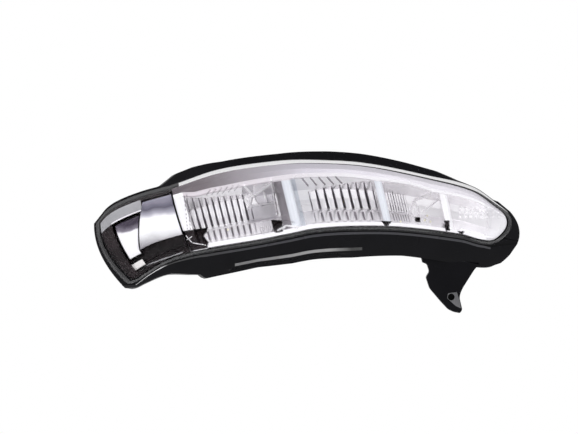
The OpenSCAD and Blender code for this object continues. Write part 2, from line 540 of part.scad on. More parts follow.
module end_tray() {
    last = len(TRAY_X) - 1;
    back_x = concat([inset_w], [for (d = TRAY_FLOOR_X) inset_w + seat_in + d], [10, 15, 20, 26, 31],
                    [tray_end - 1, tray_end]);
    color([0.13, 0.12, 0.14]) placed() difference() {
        skins([for (i = [0:last]) let (x = TRAY_X[i], deep = i > 2 && i < last - 1 ? 1 : 0) [for (r = TRAY_ROWS)
                  let (p = within(x, r[0]), stand = i == 0 || i == last ? 0.2 : 1)
                  [p[0], mix(rim_y(p[0]) - r[1] * room(x) * stand, rim_y(p[0]) + tray_depth,
                             deep * (x < BAY_X ? r[2] : r[3])), p[1]]]],
              [for (i = [0:len(back_x) - 1]) [for (r = tray_back_rows(back_x[i]))
                  let (p = within(back_x[i], r[0]), deep = i < 2 || i == len(back_x) - 1 ? 0 : 1)
                  [p[0], rim_y(p[0]) + mix(seat_y, tray_depth + tray_wall, r[1] * deep), p[1]]]],
              TRAY_X, back_x, [for (r = TRAY_ROWS) r[0]], BACK_V);
        for (z = GUIDE_LEDS_Z) at_end() block(0, z, -end_gap, 1, led_l + 2 * side_gap, led_w + 2 * side_gap);
    }
}

// Block of clear plastic that lies on the tray floor between two stations and two heights
module guide(x0, x1, v0, v1, thick) {
    us = spread(7, 0.5);
    vs = spread(7, 0.5);
    floor_gap = tray_depth - side_gap;
    front = [for (u = us) [for (v = vs)
        let (p = within(mix(x0, x1, u), mix(v0, v1, v)), crown = 0.75 + 0.25 * swell(u, 3) * swell(v, 3))
        [p[0], rim_y(p[0]) + floor_gap - thick * crown, p[1]]]];
    back = [for (u = us) [for (v = vs)
        let (p = within(mix(x0, x1, u), mix(v0, v1, v))) [p[0], rim_y(p[0]) + floor_gap, p[1]]]];
    skins(front, back, us, us, vs, vs);
}
BLOCK_GAP = 0.5;  // between the two blocks
SHELF_GAP = 2.2;  // from the larger block to the inner end of the tray
BEZEL_IN = 6.2;   // from the end of the tray to the smaller block
module light_guide() {
    color([0.85, 0.86, 0.92]) placed() guide(BAY_X + BLOCK_GAP, tray_end - SHELF_GAP, 0.15, 0.8, guide_t);
}
module guide_end_block() {
    color([0.92, 0.92, 0.96]) placed() guide(inset_w + BEZEL_IN, BAY_X, 0.34, 0.76, guide_t * 0.8);
}
module guide_foot() {
    color([0.9, 0.89, 0.88]) placed() guide(9, 16, 0.78, 0.85, guide_t * 0.5);
}

// Circuit boards and what they carry
PIN_PITCH = 4;
module main_board() {
    n = 24;
    side = [for (v = [0.3, 0.78]) [for (i = [0:n]) within(mix(BOARD_X0, BOARD_X1, i / n) * lens_l, v)]];
    color([0.1, 0.35, 0.2]) placed() difference() {
        slab(board_y, board_y + board_t, concat(side[0], [for (i = [0:n]) side[1][n - i]]));
        for (p = BOARD_SCREWS) rod(p[0], p[1], board_y - 1, board_y + board_t + 1, screw_d + 4 * screw_gap);
        for (k = [-1:1]) block(plug_at[0] + k * PIN_PITCH, plug_at[1], board_y - 1, board_y + board_t + 1,
                               pin_t + 2 * screw_gap, pin_t + 2 * screw_gap);
    }
}
HEAD_SHARE = 1.9; // head over thread
module board_screw(x, z, y) {
    rod(x, z, y - head_h, y, screw_d * HEAD_SHARE);
    rod(x, z, y - 0.01, y + screw_l, screw_d);
}
module board_screws() {
    color("silver") placed() for (p = BOARD_SCREWS) board_screw(p[0], p[1], board_y);
}
module end_board() {
    color([0.1, 0.35, 0.2]) placed() at_end() difference() {
        block(0, 0, 0, board_t, END_BOARD_W, END_BOARD_H);
        for (p = END_SCREWS) rod(p[0], p[1], -1, board_t + 1, screw_d + 4 * screw_gap);
    }
}
module end_board_screws() {
    color("silver") placed() at_end() for (p = END_SCREWS) board_screw(p[0], p[1], 0);
}
module indicator_leds() {
    color([0.95, 0.8, 0.35]) placed() for (p = LED_SPOTS) block(p[0], p[1], board_y - led_h, board_y, led_l, led_w);
}
GUIDE_LEDS_Z = [-4, 4];
module guide_leds() {
    color([0.95, 0.95, 0.8]) placed() at_end() for (z = GUIDE_LEDS_Z) block(0, z, -led_h, 0, led_l, led_w);
}
board_back = board_y + board_t;
module on_board(p, w, h, t) {
    block(p[0], p[1], board_back, board_back + t, w, h);
}
module resistors() {
    color("dimgray") placed() for (f = [0.39, 0.43, 0.51, 0.55]) on_board(spot(f, 0.62), 2, 1.25, 0.6);
}
module driver_chips() {
    color([0.1, 0.1, 0.11]) placed() for (p = [spot(0.475, 0.5), plug_at + [plug_w / 2 + 11, -1]])
        on_board(p, 5, 4, 1.6);
}
module diode() {
    color([0.15, 0.15, 0.16]) placed() on_board(plug_at + [plug_w / 2 + 4.5, -3], 4.3, 2.6, 2.2);
}

// Flat lead from the back of one board to the back of the other
LEAD_H = 5;
LEAD_T = 0.4;
module jumper_lead() {
    start = board_point(2.5, board_t);
    lift = board_point(6, board_t);
    route = [start, lift, [lift[0] + 6, board_back + 2.5], [BOARD_X0 * lens_l, board_back + 0.6],
             [BOARD_X0 * lens_l + 5, board_back], [BOARD_X0 * lens_l + 9, board_back]];
    color("saddlebrown") placed() translate([0, 0, end_at[1] - LEAD_H / 2 + 1]) linear_extrude(LEAD_H)
        polygon(concat(route, [for (i = [1:len(route)]) route[len(route) - i] + [0, LEAD_T]]));
}

// Connector: socket shell through the tub's back, with its collar on a seal
plug_end = back_y + plug_out;
SOCKET_DEPTH = 11;
SEAL_T = 1.5;
SEAL_REACH = 2.5;
module connector_shell() {
    color([0.12, 0.12, 0.13]) placed() difference() {
        union() {
            block(plug_at[0], plug_at[1], board_back, plug_end, plug_w, plug_h);
            block(plug_at[0], plug_at[1], back_y + SEAL_T, back_y + 2 * SEAL_T,
                  plug_w + 2 * SEAL_REACH, plug_h + 2 * SEAL_REACH);
        }
        block(plug_at[0], plug_at[1], plug_end - SOCKET_DEPTH, plug_end + 1,
              plug_w - 2 * plug_wall, plug_h - 2 * plug_wall);
        for (k = [-1:1]) block(plug_at[0] + k * PIN_PITCH, plug_at[1], board_back - 1, plug_end,
                               pin_t + screw_gap, pin_t + screw_gap);
    }
}
module connector_pins() {
    color("gold") placed() for (k = [-1:1])
        block(plug_at[0] + k * PIN_PITCH, plug_at[1], board_y - 0.5, plug_end - 6, pin_t, pin_t);
}
module connector_seal() {
    color([0.2, 0.2, 0.2]) placed() difference() {
        block(plug_at[0], plug_at[1], back_y, back_y + SEAL_T, plug_w + 2 * SEAL_REACH, plug_h + 2 * SEAL_REACH);
        block(plug_at[0], plug_at[1], back_y - 1, back_y + SEAL_T + 1, plug_w + screw_gap, plug_h + screw_gap);
    }
}

// Breather: membrane over a hole in the tub's back, under a slotted cap
MEMBRANE_T = 0.3;
module vent_cap() {
    color([0.1, 0.1, 0.1]) placed() difference() {
        rod(vent_at[0], vent_at[1], back_y, back_y + vent_h, vent_d);
        rod(vent_at[0], vent_at[1], back_y - 1, back_y + vent_h / 2, vent_d - 2);
        block(vent_at[0], vent_at[1], back_y - 1, back_y + 1, vent_d + 2, vent_d / 5);
    }
}
module vent_membrane() {
    color("white") placed() rod(vent_at[0], vent_at[1], back_y, back_y + MEMBRANE_T, vent_d - 3);
}

housing();
outer_lens();
lens_seal();
reflector();
end_tray();
light_guide();
guide_end_block();
guide_foot();
main_board();
end_board();
indicator_leds();
guide_leds();
resistors();
driver_chips();
diode();
board_screws();
end_board_screws();
jumper_lead();
connector_shell();
connector_pins();
connector_seal();
vent_cap();
vent_membrane();
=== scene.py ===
"""Looks of a door mirror turn signal lamp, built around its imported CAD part.

Lengths in the shape part are millimetres in the lamp's own frame: X along the lens from its outer end,
Z up from the outer end of the lens, Y backwards from the foremost point of the rim.
"""

import math

import bpy
import numpy as np
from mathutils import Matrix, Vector


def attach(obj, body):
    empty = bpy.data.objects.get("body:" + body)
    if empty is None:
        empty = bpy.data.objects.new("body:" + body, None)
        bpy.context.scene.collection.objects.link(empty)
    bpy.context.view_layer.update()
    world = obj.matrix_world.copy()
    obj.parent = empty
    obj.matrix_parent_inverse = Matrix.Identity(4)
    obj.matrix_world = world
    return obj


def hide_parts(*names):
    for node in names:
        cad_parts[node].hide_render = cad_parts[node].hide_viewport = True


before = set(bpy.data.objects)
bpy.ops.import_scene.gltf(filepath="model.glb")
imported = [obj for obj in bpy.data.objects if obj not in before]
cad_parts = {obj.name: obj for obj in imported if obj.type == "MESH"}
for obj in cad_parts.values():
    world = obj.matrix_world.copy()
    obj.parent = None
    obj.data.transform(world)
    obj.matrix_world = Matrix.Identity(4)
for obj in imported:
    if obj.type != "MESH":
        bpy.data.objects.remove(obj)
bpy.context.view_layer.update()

# Sizes of the lamp
LENS_L, ARCH_H, LENS_WALL, LENS_BULGE = 209.0, 64.0, 2.0, 13.0
SWEEP_OUTER, SWEEP_INNER = 26.0, 10.0
TUB_WALL, TUB_DEPTH, FLANGE_T, SEAT_W = 2.0, 24.0, 2.2, 4.5
LIP_H, SKIRT_BACK, LEDGE_H = 1.2, 5.0, 1.5
PEG_D, PEG_L, PEG_STEP, SHOULDER_W = 5.0, 8.0, 1.0, 2.0
SEAL_H, SEAL_W = 0.6, 1.4
REFLECTOR_X, REFLECTOR_WALL = 38.5, 1.5
FLUTE_A, FLUTE_B, FLUTE_C, FLUTE_H = 3.0, 4.2, 1.3, 1.1
TRAY_DEPTH, TRAY_WALL, GUIDE_T = 3.5, 1.2, 7.0
LED_H = 1.9
LEG_L, LEG_W, LEG_T, LEG_WALL, HOLE_D = 28.0, 28.0, 9.0, 2.2, 3.4
HOLE_IN, HOLE_DOWN = 30.5, 17.5
INNER_GAP, SIDE_GAP = 0.4, 0.3

TOP_EDGE = [(0, -0.05), (0.026, 0.053), (0.055, 0.116), (0.112, 0.189), (0.179, 0.25), (0.294, 0.375),
            (0.442, 0.445), (0.528, 0.453), (0.648, 0.428), (0.801, 0.327), (0.906, 0.233), (0.964, 0.105),
            (0.995, 0.025)]
BOTTOM_EDGE = [(0.07, -0.519), (0.085, -0.527), (0.1, -0.512), (0.122, -0.465), (0.169, -0.375),
               (0.227, -0.313), (0.279, -0.28), (0.385, -0.223), (0.466, -0.172), (0.528, -0.131),
               (0.619, -0.111), (0.732, -0.117), (0.875, -0.172), (0.921, -0.213), (0.947, -0.22),
               (0.966, -0.2)]
LEAN = [(0, 0.25), (0.2, 0.148), (0.5, 0.125), (0.8, 0.094), (0.93, 0.047), (1, -0.062)]
FLANGE = [(0, 1), (0.145, 0.8), (0.182, 4.6), (0.222, 4.8), (0.294, 3.2), (0.442, 3.1), (0.56, 3.9),
          (0.658, 3.8), (0.753, 3.5), (0.825, 2.8), (0.878, 0.7), (0.915, 0.3), (0.975, 0.4), (1, 2.2)]
SKIRT = [(0.07, 2), (0.13, 4), (0.169, 5.4), (0.217, 8.6), (0.243, 9.8), (0.253, 12.2), (0.313, 11.6),
         (0.385, 10.8), (0.471, 12.2), (0.619, 12.9), (0.746, 11.5), (0.873, 12.3), (0.923, 11.6),
         (0.966, 10.6)]
FLOOR = [(0, 1.4), (0.1, 1.22), (0.25, 1.03), (0.35, 1), (0.5, 1), (1, 1)]
CROWN_AT, SWEEP_POWER, TIP = 0.54, 2.2, 0.988
FULL_OUTER, FULL_INNER = 4.2, 4.0
FULL_OUTER_POWER, FULL_INNER_POWER = 8, 16
BULGE_AT_ENDS = 0.72
LENS_ROUND, TUB_ROUND, END_ROUND = 2.6, 5.0, 10.0
DEEPEST = 12.0


# Shape functions
def mix(a, b, t):
    return a + (b - a) * t


def segment(p, x):
    """Number of the stretch of the table p that x lies on."""
    i = 0
    while i < len(p) - 2 and x >= p[i + 1][0]:
        i += 1
    return i


def grade(p, i):
    """Slope of the table p at its point i."""
    a, b = max(0, i - 1), min(len(p) - 1, i + 1)
    return (p[b][1] - p[a][1]) / (p[b][0] - p[a][0])


def curve(p, x):
    """Smooth interpolation through the points of p, straight beyond its ends."""
    i = segment(p, x)
    h = p[i + 1][0] - p[i][0]
    t = max(0.0, min(1.0, (x - p[i][0]) / h))
    inside = ((2 * t**3 - 3 * t * t + 1) * p[i][1] + (t**3 - 2 * t * t + t) * h * grade(p, i)
              + (3 * t * t - 2 * t**3) * p[i + 1][1] + (t**3 - t * t) * h * grade(p, i + 1))
    if x < p[i][0]:
        return inside + (x - p[i][0]) * grade(p, i)
    return inside + max(0.0, x - p[i + 1][0]) * grade(p, i + 1)


def line(p, x):
    """Straight interpolation through the points of p."""
    i = segment(p, x)
    return mix(p[i][1], p[i + 1][1], (x - p[i][0]) / (p[i + 1][0] - p[i][0]))


def clamp(x, lo=0.0, hi=1.0):
    return max(lo, min(hi, x))


def ramp(x, a, b):
    """Smooth step from 0 at a to 1 at b."""
    t = clamp((x - a) / (b - a))
    return t * t * (3 - 2 * t)


def swell(t, n):
    """Rounded hump over 0 to 1, squarer with a larger n."""
    return max(0.0, 1 - abs(2 * t - 1) ** n) ** (1 / n)


TIP_X = LENS_L * TIP


def top_z(x):
    return ARCH_H * curve(TOP_EDGE, x / LENS_L)


def bottom_z(x):
    return ARCH_H * curve(BOTTOM_EDGE, x / LENS_L)


def flange_h(x):
    return line(FLANGE, x / LENS_L)


def skirt_h(x):
    return line(SKIRT, max(SKIRT[0][0], x / LENS_L))


def floor_y(x):
    return TUB_DEPTH * curve(FLOOR, x / LENS_L)


def rim_y(x):
    f = x / LENS_L
    if f < CROWN_AT:
        return SWEEP_OUTER * ((CROWN_AT - f) / CROWN_AT) ** SWEEP_POWER
    return SWEEP_INNER * ((f - CROWN_AT) / (1 - CROWN_AT)) ** SWEEP_POWER


def bulge(u):
    return LENS_BULGE * mix(BULGE_AT_ENDS, 1, math.sin(math.pi * u))


class Station:
    """Line across the outline at share u of the length; point(v) runs from the top edge to the bottom."""

    def __init__(self, u, outer=0.0, inner=0.0, up=0.0, down=0.0, extra=0.0):
        self.x0 = mix(-outer, TIP_X + inner, u)
        self.x1 = self.x0 + ARCH_H * curve(LEAN, u)
        self.z0 = top_z(self.x0) + up
        self.z1 = bottom_z(self.x1) - down
        self.full = (FULL_INNER + extra) * u**FULL_INNER_POWER - FULL_OUTER * (1 - u) ** FULL_OUTER_POWER

    def point(self, v):
        return mix(self.x0, self.x1, v) + 4 * v * (1 - v) * self.full, mix(self.z0, self.z1, v)


def spread(n, ends):
    """Shares from 0 to 1, closer together near both ends the larger ends is."""
    return [mix(i / n, (1 - math.cos(math.pi * i / n)) / 2, ends) for i in range(n + 1)]


HOLE_X = LENS_L - HOLE_IN
LEG_TOP = bottom_z(HOLE_X) - skirt_h(HOLE_X)
HOLE_Z = LEG_TOP - HOLE_DOWN
LEG_Y = rim_y(HOLE_X) + SKIRT_BACK
INSET_W = LENS_WALL + INNER_GAP


def placed(points):
    """Lamp millimetres to row metres."""
    return (np.asarray(points, float) - (HOLE_X, LEG_Y, HOLE_Z)) / 1000


# Mesh helpers
def link(piece):
    bpy.context.scene.collection.objects.link(piece)


def mesh_piece(name, points, faces, material, nodes, angle=30, more=(), pick=None):
    """Piece from points in lamp millimetres; pick gives each face's place in the list of its materials."""
    mesh = bpy.data.meshes.new(name)
    mesh.from_pydata(placed(points).tolist(), [], faces)
    if pick is not None:
        mesh.polygons.foreach_set("material_index", pick)
    mesh.validate()
    mesh.polygons.foreach_set("use_smooth", [True] * len(mesh.polygons))
    mesh.set_sharp_from_angle(angle=math.radians(angle))
    piece = bpy.data.objects.new(name, mesh)
    link(piece)
    for look in (material, *more):
        mesh.materials.append(look)
    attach(piece, "root")
    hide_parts(*nodes)


def corners(values):
    """Values at the four corners of each face of a grid."""
    return np.stack([values[:-1, :-1], values[1:, :-1], values[:-1, 1:], values[1:, 1:]])


def front_pick(looks, faces):
    """Each face's place in the list of materials, from those of the front skin's grid of faces."""
    pick = np.zeros(len(faces), int)
    pick[:looks.size] = looks.ravel()
    return pick


def zip_strip(a, b, ta, tb):
    """Triangles between two rows of point numbers, each with its own times."""
    i = j = 0
    faces = []
    while i < len(a) - 1 or j < len(b) - 1:
        if j == len(b) - 1 or (i < len(a) - 1 and ta[i + 1] <= tb[j + 1]):
            faces.append((a[i], b[j], a[i + 1]))
            i += 1
        else:
            faces.append((a[i], b[j], b[j + 1]))
            j += 1
    return faces


def skins(front, back, uf, ub, vf, vb):
    """Points and faces of the solid between two grids of columns."""
    rf, rb = len(vf), len(vb)
    nf, nb = len(front) - 1, len(back) - 1
    base = (nf + 1) * rf
    points = [p for c in front for p in c] + [p for c in back for p in c]

    def fore(i, j):
        return i * rf + j

    def rear(i, j):
        return base + i * rb + j

    faces = [(fore(i, j), fore(i + 1, j), fore(i + 1, j + 1), fore(i, j + 1))
             for i in range(nf) for j in range(rf - 1)]
    faces += [(rear(i, j), rear(i, j + 1), rear(i + 1, j + 1), rear(i + 1, j))
              for i in range(nb) for j in range(rb - 1)]
    top, foot = (zip_strip([fore(i, j) for i in range(nf + 1)], [rear(i, k) for i in range(nb + 1)], uf, ub)
                 for j, k in ((0, 0), (rf - 1, rb - 1)))
    first, last = (zip_strip([fore(i, j) for j in range(rf)], [rear(k, j) for j in range(rb)], vf, vb)
                   for i, k in ((0, 0), (nf, nb)))
    faces += top + [(a, c, b) for a, b, c in foot + first] + last
    return points, faces


# Materials
NOISE_LOW, NOISE_HIGH = 0.35, 0.65
POLISH_CHANGE, WANDER = 0.15, 0.7
CLEAR_TINT, EDGE_TINT, EDGE_BLEND = (0.985, 0.985, 0.99), (0.93, 0.93, 0.94), 0.3
CLEAR_IOR, CLEAR_CHANGE = 1.3, 0.2


def grey(value):
    return value, value, value


def new_material(name):
    material = bpy.data.materials.new(name)
    material.use_nodes = True
    nodes = material.node_tree.nodes
    nodes.clear()
    return material, nodes, material.node_tree.links


def node(nodes, kind, values=None, **settings):
    """New shader node with its settings and the values of its inputs."""
    made = nodes.new("ShaderNode" + kind)
    for key, value in settings.items():
        setattr(made, key, value)
    for key, value in (values or {}).items():
        made.inputs[key].default_value = value
    return made


def varied(nodes, links, scale, low, high):
    """Faint change of a value over the surface, from noise in object coordinates."""
    noise = node(nodes, "TexNoise", {"Scale": scale, "Detail": 2})
    links.new(node(nodes, "TexCoord").outputs["Object"], noise.inputs["Vector"])
    wider = node(nodes, "MapRange",
                 {"From Min": NOISE_LOW, "From Max": NOISE_HIGH, "To Min": low, "To Max": high})
    links.new(noise.outputs["Fac"], wider.inputs["Value"])
    return wider.outputs["Result"]


def polish(nodes, links, body, roughness, scale, change=POLISH_CHANGE):
    """Faintly uneven roughness."""
    low, high = roughness * (1 - change), roughness * (1 + change)
    links.new(varied(nodes, links, scale, low, high), body.inputs["Roughness"])


def finish(nodes, links, shader):
    links.new(shader, node(nodes, "OutputMaterial").inputs["Surface"])


def surface(name, color, roughness, metallic=0.0, change=0.12, scale=60.0, specular=0.5):
    """Plain moulded or plated surface whose colour and polish change faintly from place to place."""
    material, nodes, links = new_material(name)
    body = node(nodes, "BsdfPrincipled", {"Metallic": metallic, "Specular IOR Level": specular})
    tint = node(nodes, "Mix", data_type="RGBA")
    tint.inputs["A"].default_value = (*[c * (1 - change) for c in color], 1)
    tint.inputs["B"].default_value = (*[min(1, c * (1 + change)) for c in color], 1)
    links.new(varied(nodes, links, scale, 0, 1), tint.inputs["Factor"])
    links.new(tint.outputs["Result"], body.inputs["Base Color"])
    polish(nodes, links, body, roughness, scale * 0.7)
    finish(nodes, links, body.outputs["BSDF"])
    return material


def graded(name, slope, stops, roughness, metallic=0.0, specular=0.4, across=False):
    """Surface whose colour runs over lamp millimetres: by height less slope times length, or by length."""
    material, nodes, links = new_material(name)
    body = node(nodes, "BsdfPrincipled", {"Metallic": metallic, "Specular IOR Level": specular})
    along = node(nodes, "VectorMath", {1: (1000, 0, 0) if across else (-1000 * slope, 0, 1000)},
                 operation="DOT_PRODUCT")
    links.new(node(nodes, "TexCoord").outputs["Object"], along.inputs[0])
    wander = node(nodes, "Math", operation="ADD")
    links.new(along.outputs["Value"], wander.inputs[0])
    links.new(varied(nodes, links, 90, -WANDER, WANDER), wander.inputs[1])
    first, last = stops[0], stops[-1]
    base = -HOLE_X if across else slope * HOLE_X - HOLE_Z
    place = node(nodes, "MapRange", {"From Min": first[0] + base, "From Max": last[0] + base})
    links.new(wander.outputs["Value"], place.inputs["Value"])
    shade = node(nodes, "ValToRGB")
    shown = shade.color_ramp.elements
    shown[0].color, shown[-1].color = (*first[1], 1), (*last[1], 1)
    for at, color in stops[1:-1]:
        shown.new((at - first[0]) / (last[0] - first[0])).color = (*color, 1)
    links.new(place.outputs["Result"], shade.inputs["Fac"])
    links.new(shade.outputs["Color"], body.inputs["Base Color"])
    polish(nodes, links, body, roughness, 50)
    finish(nodes, links, body.outputs["BSDF"])
    return material


def clear(name, roughness, shine_share):
    """Clear moulding: it shows what lies behind it, a little darker where seen edge on, and reflects."""
    material, nodes, links = new_material(name)
    tint = node(nodes, "Mix", data_type="RGBA")
    tint.inputs["A"].default_value = (*CLEAR_TINT, 1)
    tint.inputs["B"].default_value = (*EDGE_TINT, 1)
    links.new(node(nodes, "LayerWeight", {"Blend": EDGE_BLEND}).outputs["Facing"], tint.inputs["Factor"])
    through = node(nodes, "BsdfTransparent")
    links.new(tint.outputs["Result"], through.inputs["Color"])
    shine = node(nodes, "BsdfGlossy", {"Color": (1, 1, 1, 1)})
    polish(nodes, links, shine, roughness, 40, CLEAR_CHANGE)
    part = node(nodes, "Math", {1: shine_share}, operation="MULTIPLY")
    links.new(node(nodes, "Fresnel", {"IOR": CLEAR_IOR}).outputs["Fac"], part.inputs[0])
    both = node(nodes, "MixShader")
    links.new(part.outputs["Value"], both.inputs["Fac"])
    links.new(through.outputs["BSDF"], both.inputs[1])
    links.new(shine.outputs["BSDF"], both.inputs[2])
    finish(nodes, links, both.outputs["Shader"])
    return material


BLACK = surface("black_gloss", (0.0035, 0.0035, 0.0045), 0.25, specular=0.08)
# Painted glint on the black lip: bright grey near the outer end and faint grey along the rest, standing in
# for a highlight
LIP_PAINTED_GLINT = graded("lip_painted_glint", 0,
                  [(8, grey(0.02)), (15, grey(0.5)), (33, grey(0.6)), (36, grey(0.02)),
                   (80, (0.03, 0.03, 0.035)), (200, (0.03, 0.03, 0.035))], 0.3, across=True)
# Painted highlight: a lighter grey streak on the black ledge's step stands in for the light it catches
LEDGE_PAINTED_SHEEN = graded("ledge_painted_sheen", 0,
                    [(62, (0.01, 0.01, 0.011)), (72, grey(0.13)), (95, grey(0.2)), (118, grey(0.26)),
                     (129, grey(0.03))], 0.3, across=True)
FOOT_LOOK = surface("foot_grey", (0.085, 0.085, 0.09), 0.35)
LENS = clear("clear_lens", 0.03, 0.05)
LENS_RIM = clear("lens_rim", 0.12, 0.9)
RUBBER = surface("seal_rubber", (0.02, 0.02, 0.021), 0.6)
METALLISED = surface("metallised", (0.945, 0.93, 0.945), 0.24, metallic=0.66, change=0.03, scale=25)
END_LOOK = surface("cell_end", (0.74, 0.73, 0.745), 0.4, change=0.06, scale=60)
FACET_LOOK = surface("facet_grey", (0.6, 0.58, 0.61), 0.3, metallic=0.4, change=0.15, scale=120)
# Painted shading: the rim under the band runs from darker at the outer end to light at the inner end
RIM_PAINTED_SHADING = graded("cell_rim_painted_shading", 0,
                  [(40, (0.62, 0.57, 0.6)), (90, (0.74, 0.7, 0.73)), (130, (0.86, 0.84, 0.86)),
                   (200, (0.84, 0.83, 0.84))], 0.3, 0.3, across=True)
# Painted shade: a dark grey copy of the plated metal in the flutes' grooves, along the grooved lines and in a
# strip beside the second pillar
GROOVE_PAINTED_SHADE = surface("painted_flute_shade", (0.27, 0.25, 0.27), 0.4, metallic=0.4, change=0.2, scale=90)
PILLAR_LOOK = surface("pillar_blue", (0.72, 0.745, 0.785), 0.32, metallic=0.35, change=0.04, scale=25)
# Partly the pale colour of the first and last pillars, partly painted highlight on the ridges, dots and
# bright parts of the first two cells
PALE_AND_HIGHLIGHT_LOOK = surface("pillar_white", (0.93, 0.92, 0.93), 0.32, metallic=0.3, change=0.03, scale=25)
GLOW_LOOK = surface("lamp_glow", (0.86, 0.83, 0.62), 0.35, metallic=0.3, change=0.05, scale=60)
# Painted shading: the satin band runs from dark at the outer end to light at the inner end, standing in for
# its changing reflection
BAND_PAINTED_SHADING = graded("bezel_satin_painted_shading", 0,
                   [(38, (0.09, 0.075, 0.085)), (55, (0.14, 0.12, 0.13)), (78, (0.3, 0.28, 0.3)),
                    (105, (0.46, 0.44, 0.48)), (160, (0.62, 0.6, 0.63))], 0.34, 0.3, across=True)
TRAY = surface("tray_black", (0.013, 0.0095, 0.0105), 0.28, specular=0.14, change=0.6, scale=140)
# Painted reflection and highlight on the black tray: grey over its upper rows and along the raised line at
# the window's foot, pale along the shelf edge
ROOF_PAINTED_REFLECTION = surface("tray_roof_painted_reflection", (0.3, 0.3, 0.31), 0.3, specular=0.4)
SHELF_PAINTED_HIGHLIGHT = surface("tray_shelf_painted_highlight", (0.75, 0.73, 0.76), 0.3)
# Painted highlight and shade: bands across the pale light guide, bright over the middle, darker below and
# above
GUIDE_PAINTED_LIGHT = graded("guide_block_painted_light", 0.2,
               [(-23, (0.16, 0.15, 0.17)), (-18.5, (0.42, 0.41, 0.43)), (-15, (0.74, 0.74, 0.75)),
                (-13, (0.88, 0.88, 0.89)), (-6.5, (0.9, 0.89, 0.91)), (-4.5, (0.4, 0.39, 0.45)),
                (-1.5, (0.1, 0.095, 0.13)), (1.5, (0.2, 0.19, 0.24)), (7, (0.3, 0.29, 0.34))],
               0.16, specular=0.25)
# Painted highlight and shade: bright over the lower part of the end block, dark over its top
GUIDE_END_PAINTED_LIGHT = graded("guide_end", 0.2,
                   [(-26, (0.84, 0.84, 0.85)), (-10.6, (0.9, 0.89, 0.91)), (-9.6, (0.2, 0.18, 0.22)),
                    (-7, (0.045, 0.035, 0.055)), (0, (0.03, 0.025, 0.035))], 0.2, specular=0.2)
GUIDE_FOOT = surface("guide_foot_pale", (0.74, 0.72, 0.7), 0.25, change=0.08)
BOARD = surface("board_mask", (0.02, 0.1, 0.05), 0.45)
CHIP = surface("chip_black", (0.02, 0.02, 0.022), 0.5)
AMBER = surface("lamp_amber", (0.9, 0.65, 0.2), 0.35)
PALE_LAMP = surface("lamp_pale", (0.9, 0.88, 0.75), 0.35)
RESISTOR = surface("resistor_body", (0.04, 0.04, 0.045), 0.5)
STEEL = surface("screw_steel", (0.6, 0.6, 0.62), 0.3, metallic=1.0)
LEAD_FILM = surface("lead_film", (0.3, 0.12, 0.03), 0.4)
SOCKET = surface("socket_black", (0.02, 0.02, 0.022), 0.45)
CONTACT = surface("contact_brass", (0.8, 0.6, 0.28), 0.28, metallic=1.0)
VENT = surface("vent_black", grey(0.02), 0.5)
FILM = surface("membrane_film", grey(0.85), 0.8)

NODE_LOOKS = {"housing": BLACK, "outer_lens": LENS, "lens_seal": RUBBER, "reflector": METALLISED,
              "end_tray": TRAY, "light_guide": GUIDE_PAINTED_LIGHT, "guide_end_block": GUIDE_END_PAINTED_LIGHT, "guide_foot": GUIDE_FOOT,
              "main_board": BOARD, "end_board": BOARD, "indicator_leds": AMBER, "guide_leds": PALE_LAMP,
              "resistors": RESISTOR, "driver_chips": CHIP, "diode": CHIP, "board_screws": STEEL,
              "end_board_screws": STEEL, "jumper_lead": LEAD_FILM, "connector_shell": SOCKET,
              "connector_pins": CONTACT, "connector_seal": RUBBER, "vent_cap": VENT, "vent_membrane": FILM}


def dress_nodes():
    for name, look in NODE_LOOKS.items():
        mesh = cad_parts[name].data
        mesh.materials.clear()
        mesh.materials.append(look)


# Lens and seal
# Bright upper rim: share of the length where it starts, and share of the height that it covers
RIM_FROM, RIM_DOWN = 0.2, 0.052


def lens_skin(us, vs, inwards):
    columns = []
    for u in us:
        line_at = Station(u, -inwards, -inwards, -inwards, -inwards)
        column = []
        for v in vs:
            x, z = line_at.point(v)
            dome = (bulge(u) - inwards) * swell(u, END_ROUND) * swell(v, LENS_ROUND)
            column.append((x, rim_y(x) - dome, z))
        columns.append(column)
    return columns


def make_lens():
    us, vs = spread(150, 0.93), spread(56, 1)
    points, faces = skins(lens_skin(us, vs, 0), lens_skin(us, vs, LENS_WALL), us, us, vs, vs)
    bright = (np.array(us[:-1])[:, None] > RIM_FROM) & (np.array(vs[:-1]) < RIM_DOWN)
    mesh_piece("clear_cover", points, faces, LENS, ["outer_lens"], 50, (LENS_RIM,),
               front_pick(bright.astype(int), faces))


def make_seal():
    us, vs = spread(150, 0.93), spread(40, 1)
    side = (LENS_WALL - SEAL_W) / 2
    loop = ([(u, 0.0) for u in us] + [(1.0, v) for v in vs[1:]] + [(u, 1.0) for u in us[-2::-1]]
            + [(0.0, v) for v in vs[-2:0:-1]])
    points, faces, n = [], [], len(loop)
    for u, v in loop:
        for k in range(4):
            g = -side if k in (0, 3) else -side - SEAL_W
            x, z = Station(u, g, g, g, g).point(v)
            points.append((x, rim_y(x) + (0 if k < 2 else SEAL_H), z))
    for i in range(n):
        j = (i + 1) % n
        faces += [(i * 4 + k, j * 4 + k, j * 4 + (k + 1) % 4, i * 4 + (k + 1) % 4) for k in range(4)]
    mesh_piece("edge_seal", points, faces, RUBBER, ["lens_seal"], 40)


